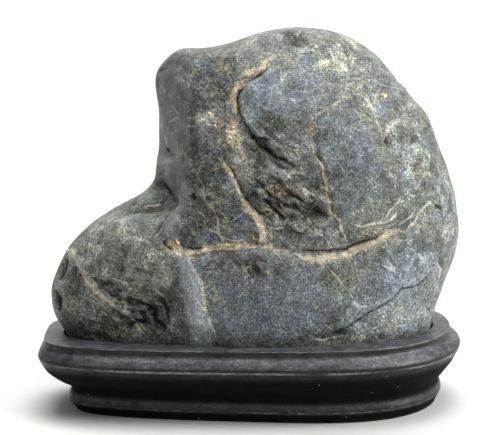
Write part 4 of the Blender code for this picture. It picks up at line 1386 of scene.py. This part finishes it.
def lay_flecks(m, g):
    """Pale, white and black flecks along the stone's grain."""
    loud = (g.rough * 0.6 + g.loud) * g.calm * (1.0 - 0.35 * g.dark)
    pale = m.noise(4.5, 6.0, 0.80, 0.3, m.stretched((1.9, 1.2, 0.7), (0.2, 0.65, 0.1)))
    m.lay(m.ramp(pale + g.rough * 0.03, 0.56, 0.68) * 0.62 * loud, PALE_YELLOW)
    white = m.noise(2.2, 5.0, 0.80, 0.3, m.stretched((1.6, 1.2, 0.7), (0.5, 0.6, 0.3)))
    quiet = (1.0 - 0.5 * g.blue) * g.plainness
    m.lay(m.ramp(white, 0.58, 0.70) * 0.34 * quiet, PALE_WHITE)
    black = m.noise(3.0, 6.0, 0.80, 0.3, m.stretched((1.7, 1.1, 0.7), (0.2, 0.7, 0.2)))
    m.lay(m.ramp(black + g.rough * 0.05, 0.55, 0.67) * 0.75 * loud, NEAR_BLACK)


def lay_patches(m, g):
    """Pale and warm patches, broken up by the grain."""
    pale = m.blotch("pale", g.mottle, 4.2, 0.35, 0.95)
    m.lay(pale * 0.62, m.shade(PALE_YELLOW, m.around(g.mottle, 4.0)))
    warm = m.blotch("warm", m.noise(6.0, 6.0, 0.78), 3.8, 0.35, 0.90)
    warm_colour = m.mix(m.ramp(g.mottle, 0.46, 0.58), RUST, CREAM)
    m.lay(warm * 0.75, m.shade(warm_colour, m.around(g.mottle, 3.0)))


def lay_specks(m, g):
    """Salt and pepper, coarser where the ground is dark or rough."""
    pepper = m.around(g.tiny, 5.5) * (m.split(g.crystal, 0) * 1.2 + 0.4)
    m.lay(g.plainness * 0.9, m.shade(m.colour, pepper))
    m.lay(g.harsh * 0.8, m.shade(m.colour, m.around(g.coarse, 6.5)))


def lay_healed_cracks(m, g):
    """Faint lines, nearly straight, and a light web where the ground is rough."""
    net = m.seams(26.0, m.warped(16.0, 5.0), 0.018, 0.005) * m.ramp(m.noise(14.0), 0.48, 0.56)
    along_grain = m.stretched((1.5, 1.2, 0.65), (0.2, 0.6, 0.0))
    scratches = m.seams(13.0, along_grain, 0.026, 0.008) * m.ramp(m.noise(10.0), 0.52, 0.60)
    lines = m.larger(net, scratches) * 0.5
    line_colour = m.mix(m.ramp(g.big, 0.40, 0.60), PALE_WHITE, PALE_YELLOW)
    m.lay(lines * m.ramp(g.tiny, 0.36, 0.50), line_colour)
    web = m.seams(12.0, m.warped(9.0, 3.0), 0.10, 0.02) * m.ramp(m.noise(4.0, 5.0, 0.78), 0.45, 0.56)
    web = web * m.ramp(g.rough, 0.05, 0.70) * g.plainness * g.calm
    web_colour = m.mix(m.ramp(m.noise(12.0), 0.44, 0.56), PALE_YELLOW, TAWNY)
    m.lay(web * 0.9, m.shade(web_colour, m.around(g.mottle, 4.0)))
    return lines


def lay_splits(m, g):
    """Dark splits along the strata, where the ground is rough."""
    splits = m.seams(4.5, m.warped(6.0, 3.0, g.strata), 0.09, 0.02)
    splits = splits * m.ramp(m.noise(5.0, 4.0, 0.7), 0.46, 0.56)
    splits = splits * m.ramp(g.rough, 0.10, 0.90) * g.plainness * g.calm
    m.lay(splits * 0.85, NEAR_BLACK)
    return splits


def stroke_share(m, g, name, softness, looseness, hold):
    """Share of a kind of stroke here: frayed at its edges and lost in places."""
    width, strength = m.mark(name + "_width"), m.mark(name + "_strength")
    fray = (m.split(g.crystal, 1) * 0.9 - 0.45) + (g.small * 2.8 - 1.4)
    gap = abs(m.mark(name + "_distance"))
    inside = m.ramp(width - gap + fray * looseness * width, -softness, softness)
    kept = m.ramp(strength * 0.25 + m.noise(5.0, 3.0, 0.7), 0.70 - hold, 0.80 - hold)
    grains = m.ramp(g.coarse, 0.38, 0.52) * 0.45 + 0.55
    return inside * kept * m.ramp(width, 0.02, 0.12) * strength * grains


def lay_veins(m, g):
    """The stained ground beside the veins, the light hairs and the veins."""
    warmth = m.mark("vein_warmth")
    beside = m.ramp(abs(m.mark("vein_distance")), 6.0, 0.8) * m.ramp(m.mark("vein_width"), 0.3, 1.5)
    stain = beside * m.ramp(m.noise(5.0, 5.0, 0.75), 0.44, 0.58) * m.ramp(warmth, 0.25, 0.65)
    m.lay(stain * 0.5, TAWNY)
    granules = m.ramp(beside * 0.16 + m.noise(4.0, 6.0, 0.8), 0.62, 0.72)
    m.lay(granules * beside * 0.75, CREAM)
    hair = stroke_share(m, g, "hair", 0.24, 0.70, 0.13)
    m.lay(hair * 0.8, m.mix(m.mark("hair_warmth"), BRIGHT_WHITE, CREAM))
    vein = stroke_share(m, g, "vein", 0.35, 0.75, 0.16)
    pale = m.mix(m.ramp(m.split(g.crystal, 2), 0.3, 0.7), PALE_YELLOW, CREAM)
    rusty = m.ramp(m.noise(4.0, 5.0, 0.75), 0.46, 0.58) * warmth
    vein_colour = m.mix(m.ramp(warmth, 0.45, 0.10), m.mix(rusty, pale, RUST), BRIGHT_WHITE)
    brightness = m.around(g.mottle, 4.0) * (m.split(g.crystal, 0) * 0.7 + 0.75)
    m.lay(vein * 0.94, m.shade(vein_colour, brightness))
    return vein


def lay_hollow_shade_and_chips(m, g):
    """Painted shade in the hollows, light chips, and rubbed edges."""
    broken = m.ramp(m.noise(3.4, 6.0, 0.80), 0.42, 0.56)
    # Painted shade: darker in the hollows, fine and broad.
    hollow_shade = m.ramp(m.mark("cavity"), 0.12, 0.80) * (broken * 0.8 + 0.2)
    m.lay(hollow_shade * (g.rough * 0.5 + 0.4), NEAR_BLACK)
    m.lay(m.ramp(m.mark("broad_cavity"), 0.5, 3.2) * (broken * 0.35 + 0.2), DARK_OLIVE)
    chips = m.ramp(m.noise(2.6, 6.0, 0.82, 0.3, g.strata), 0.54, 0.64) * g.harsh * g.calm
    m.lay(chips * 0.42, m.mix(m.ramp(m.noise(7.0), 0.44, 0.56), PALE_YELLOW, TAWNY))
    m.lay(m.ramp(m.mark("cavity"), -0.08, -0.55) * 0.22, PALE_WHITE)
    return hollow_shade


def lay_cracks(m, g):
    """The dark cracks and the shade beside them."""
    beside = m.ramp(abs(m.mark("crack_distance")), 2.4, 0.3) * m.ramp(m.mark("crack_width"), 0.1, 0.9)
    m.lay(beside * m.ramp(m.noise(4.0, 5.0, 0.78), 0.42, 0.56) * 0.75, NEAR_BLACK)
    crack = stroke_share(m, g, "crack", 0.22, 0.90, 0.10)
    m.lay(crack * 0.95, NEAR_BLACK)
    return crack


def stone_material():
    """Speckled grey-green stone with cream, rust and white veins and dark cracks."""
    m = Recipe("speckled_stone", PLAIN_GREY)
    g = stone_grain(m)
    for layer in (lay_ground, lay_clouds, lay_flecks, lay_patches, lay_specks):
        layer(m, g)
    lines = lay_healed_cracks(m, g)
    splits = lay_splits(m, g)
    vein = lay_veins(m, g)
    hollow_shade = lay_hollow_shade_and_chips(m, g)
    crack = lay_cracks(m, g)

    pits = m.ramp(m.cells(5.0), 0.26, 0.10) * m.ramp(m.noise(9.0), 0.52, 0.60)
    height = g.mottle * 1.6 + g.tiny * 0.38 + m.split(g.crystal, 1) * 0.07
    height = height + m.noise(6.0, 5.0, 0.75) * g.rough * 3.4 - pits * 0.4
    height = height * (1.0 - 0.75 * g.smooth)
    height = height + vein * 0.4 - crack * 0.8 - lines * 0.15 - splits * 0.5
    return m.finished({
        "Base Color": m.colour,
        "Roughness": g.tiny * 0.36 + 0.28 + hollow_shade * 0.25,
        "Specular IOR Level": 0.5 - 0.28 * g.harsh,
        "Normal": m.bump(height),
    })

# ---- Stand material ----------------------------------------------------------------------------------
LACQUER = (0.0075, 0.0078, 0.0086)
LACQUER_WORN = (0.030, 0.030, 0.031)
PAINTED_SHADE_BLACK = (0.002, 0.002, 0.002)
BARE_WOOD = (0.42, 0.40, 0.37)
DUST_AND_SHEEN = (0.39, 0.415, 0.45)


def stand_material():
    """Black lacquer over carved wood: satin, streaked along the grain, worn on the arrises."""
    m = Recipe("black_lacquer", LACQUER)
    arris, upward, recess_shade = m.mark("arris"), m.mark("upward"), m.mark("recess_shade")
    soft = m.noise(9.0, 4.0, 0.6)
    streaks = m.noise(2.2, 4.0, 0.65, 0.2, m.stretched((14.0, 2.5, 1.0)))
    fine = m.noise(0.8, 2.0, 0.6, 0.0, m.stretched((6.0, 1.6, 1.0)))
    grit = m.noise(3.0, 6.0, 0.85, 0.2, m.stretched((2.2, 1.4, 1.0)))
    grain = m.split(m.cells(1.1, "Color"), 0) * 1.1 + 0.45
    m.lay(m.ramp(soft, 0.35, 0.75), LACQUER_WORN)
    m.lay(m.ramp(streaks, 0.52, 0.66) * 0.8, LACQUER_WORN)

    # A thin film of dust and painted sheen where the surface faces up; painted shade keeps the recesses
    # black.
    film = m.ramp(upward, -0.05, 0.80) * (soft * 0.22 + 0.03)
    m.lay(film * m.around(grit, 7.0) * m.around(streaks, 2.0) * grain, DUST_AND_SHEEN)
    m.lay(recess_shade * 0.85, PAINTED_SHADE_BLACK)

    # Wear: the arrises show thin broken lines of bare wood.
    edge = arris + (m.noise(3.0, 3.0, 0.7) * 2.0 - 1.0)
    patch = m.ramp(m.noise(26.0, 2.0, 0.6), 0.36, 0.56)
    line = m.ramp(edge, 0.95, 0.20) * (patch * 0.68 + 0.10) * m.around(grit, 4.0)
    m.lay(line, BARE_WOOD)
    m.lay(m.ramp(arris, 2.6, 0.4) * 0.45, LACQUER_WORN)
    specks = m.ramp(m.cells(6.0), 0.075, 0.040) * m.ramp(m.noise(15.0), 0.48, 0.56)
    m.lay(specks * 0.75, DUST_AND_SHEEN)

    return m.finished({
        "Base Color": m.colour,
        "Roughness": grit * 0.35 + 0.26 + recess_shade * 0.3 + line * 0.2,
        "Specular IOR Level": m.ramp(upward, -0.1, 0.6) * 0.26 + 0.16 - recess_shade * 0.1,
        "Normal": m.bump(streaks * 0.3 + fine * 0.2 + m.noise(5.0, 3.0, 0.6) * 0.3 - line * 0.08),
    })

# ---- Studio, in metres -------------------------------------------------------------------------------
FLOOR_COLOUR = (0.60, 0.59, 0.57)
FLOOR_ROUGHNESS = 0.8
FLOOR_HALF_WIDTH = 4.0
FLOOR_FRONT = -3.0
FLOOR_BEND = 1.2                 # where it starts to curve up
BACKDROP_RADIUS = 0.8
BACKDROP_TOP = 3.2
BACKDROP_STEPS = 12
LIT_PLACE = (0.0, 0.0, 0.11)
# Place, target, size, power and colour of each lamp: light from the upper right, with a weak fill.
LAMPS = {
    "window": ((1.05, -0.40, 0.75), LIT_PLACE, 0.8, 21.5, (1.0, 0.99, 0.98)),
    "ceiling": ((0.0, 0.05, 1.35), LIT_PLACE, 1.2, 18.0, (0.96, 0.98, 1.0)),
    "fill": ((0.25, -1.6, 0.75), LIT_PLACE, 0.9, 2.4, (0.97, 0.98, 1.0)),
    "backdrop": ((0.0, 0.9, 2.3), (0.0, 2.0, 0.9), 1.6, 70.0, (1.0, 1.0, 1.0)),
}
SURROUND_COLOUR = (0.93, 0.96, 1.0, 1.0)
SURROUND_STRENGTH = 0.16
FARTHEST_SEEN = 20.0


def add_floor():
    """A plain pale matt floor that curves up behind into a backdrop."""
    profile = [(FLOOR_FRONT, 0.0), (FLOOR_BEND, 0.0)]
    for step in range(1, BACKDROP_STEPS + 1):
        turn = 0.5 * math.pi * step / BACKDROP_STEPS
        y = FLOOR_BEND + BACKDROP_RADIUS * math.sin(turn)
        profile.append((y, BACKDROP_RADIUS * (1.0 - math.cos(turn))))
    profile.append((FLOOR_BEND + BACKDROP_RADIUS, BACKDROP_TOP))
    verts = [(x, y, z) for y, z in profile for x in (-FLOOR_HALF_WIDTH, FLOOR_HALF_WIDTH)]
    faces = [(2 * i, 2 * i + 1, 2 * i + 3, 2 * i + 2) for i in range(len(profile) - 1)]
    mesh = bpy.data.meshes.new("floor")
    mesh.from_pydata(verts, [], faces)
    mesh.shade_smooth()
    m = Recipe("pale_floor", FLOOR_COLOUR)
    mesh.materials.append(m.finished({"Base Color": m.colour, "Roughness": FLOOR_ROUGHNESS}))
    floor = add_object("floor", mesh)


def add_studio():
    """Soft square lamps and a pale surround."""
    for name, (place, target, size, power, colour) in LAMPS.items():
        lamp = bpy.data.lights.new(name, "AREA")
        lamp.size = size
        lamp.energy = power
        lamp.color = colour
        holder = add_object(name, lamp)
        holder.location = place
        holder.rotation_euler = (Vector(target) - Vector(place)).to_track_quat("-Z", "Y").to_euler()
    world = bpy.data.worlds.new("surround")
    bpy.context.scene.world = world
    world.use_nodes = True
    background = world.node_tree.nodes["Background"]
    background.inputs["Color"].default_value = SURROUND_COLOUR
    background.inputs["Strength"].default_value = SURROUND_STRENGTH
    bpy.context.scene.view_settings.view_transform = "Standard"


def add_camera():
    """The photograph's own view."""
    middle = SHEET_MIDDLE * MM
    eye = middle + TO_EYE * VIEW_DISTANCE * MM
    turn = (middle - eye).to_track_quat("-Z", "Y").to_matrix().to_4x4()
    lens = bpy.data.cameras.new("photo_view")
    lens.sensor_fit = "HORIZONTAL"
    lens.sensor_width = SENSOR_WIDTH
    lens.lens = PHOTO_SCALE * VIEW_DISTANCE / PHOTO_WIDTH * SENSOR_WIDTH
    lens.clip_end = FARTHEST_SEEN
    camera = add_object("photo_view", lens)
    camera.matrix_world = Matrix.Translation(eye) @ turn @ Matrix.Rotation(-VIEW_ROLL, 4, "Z")
    bpy.context.scene.camera = camera


stone_surface = stone_piece()
stand_piece(stone_surface)
add_floor()
add_studio()
add_camera()
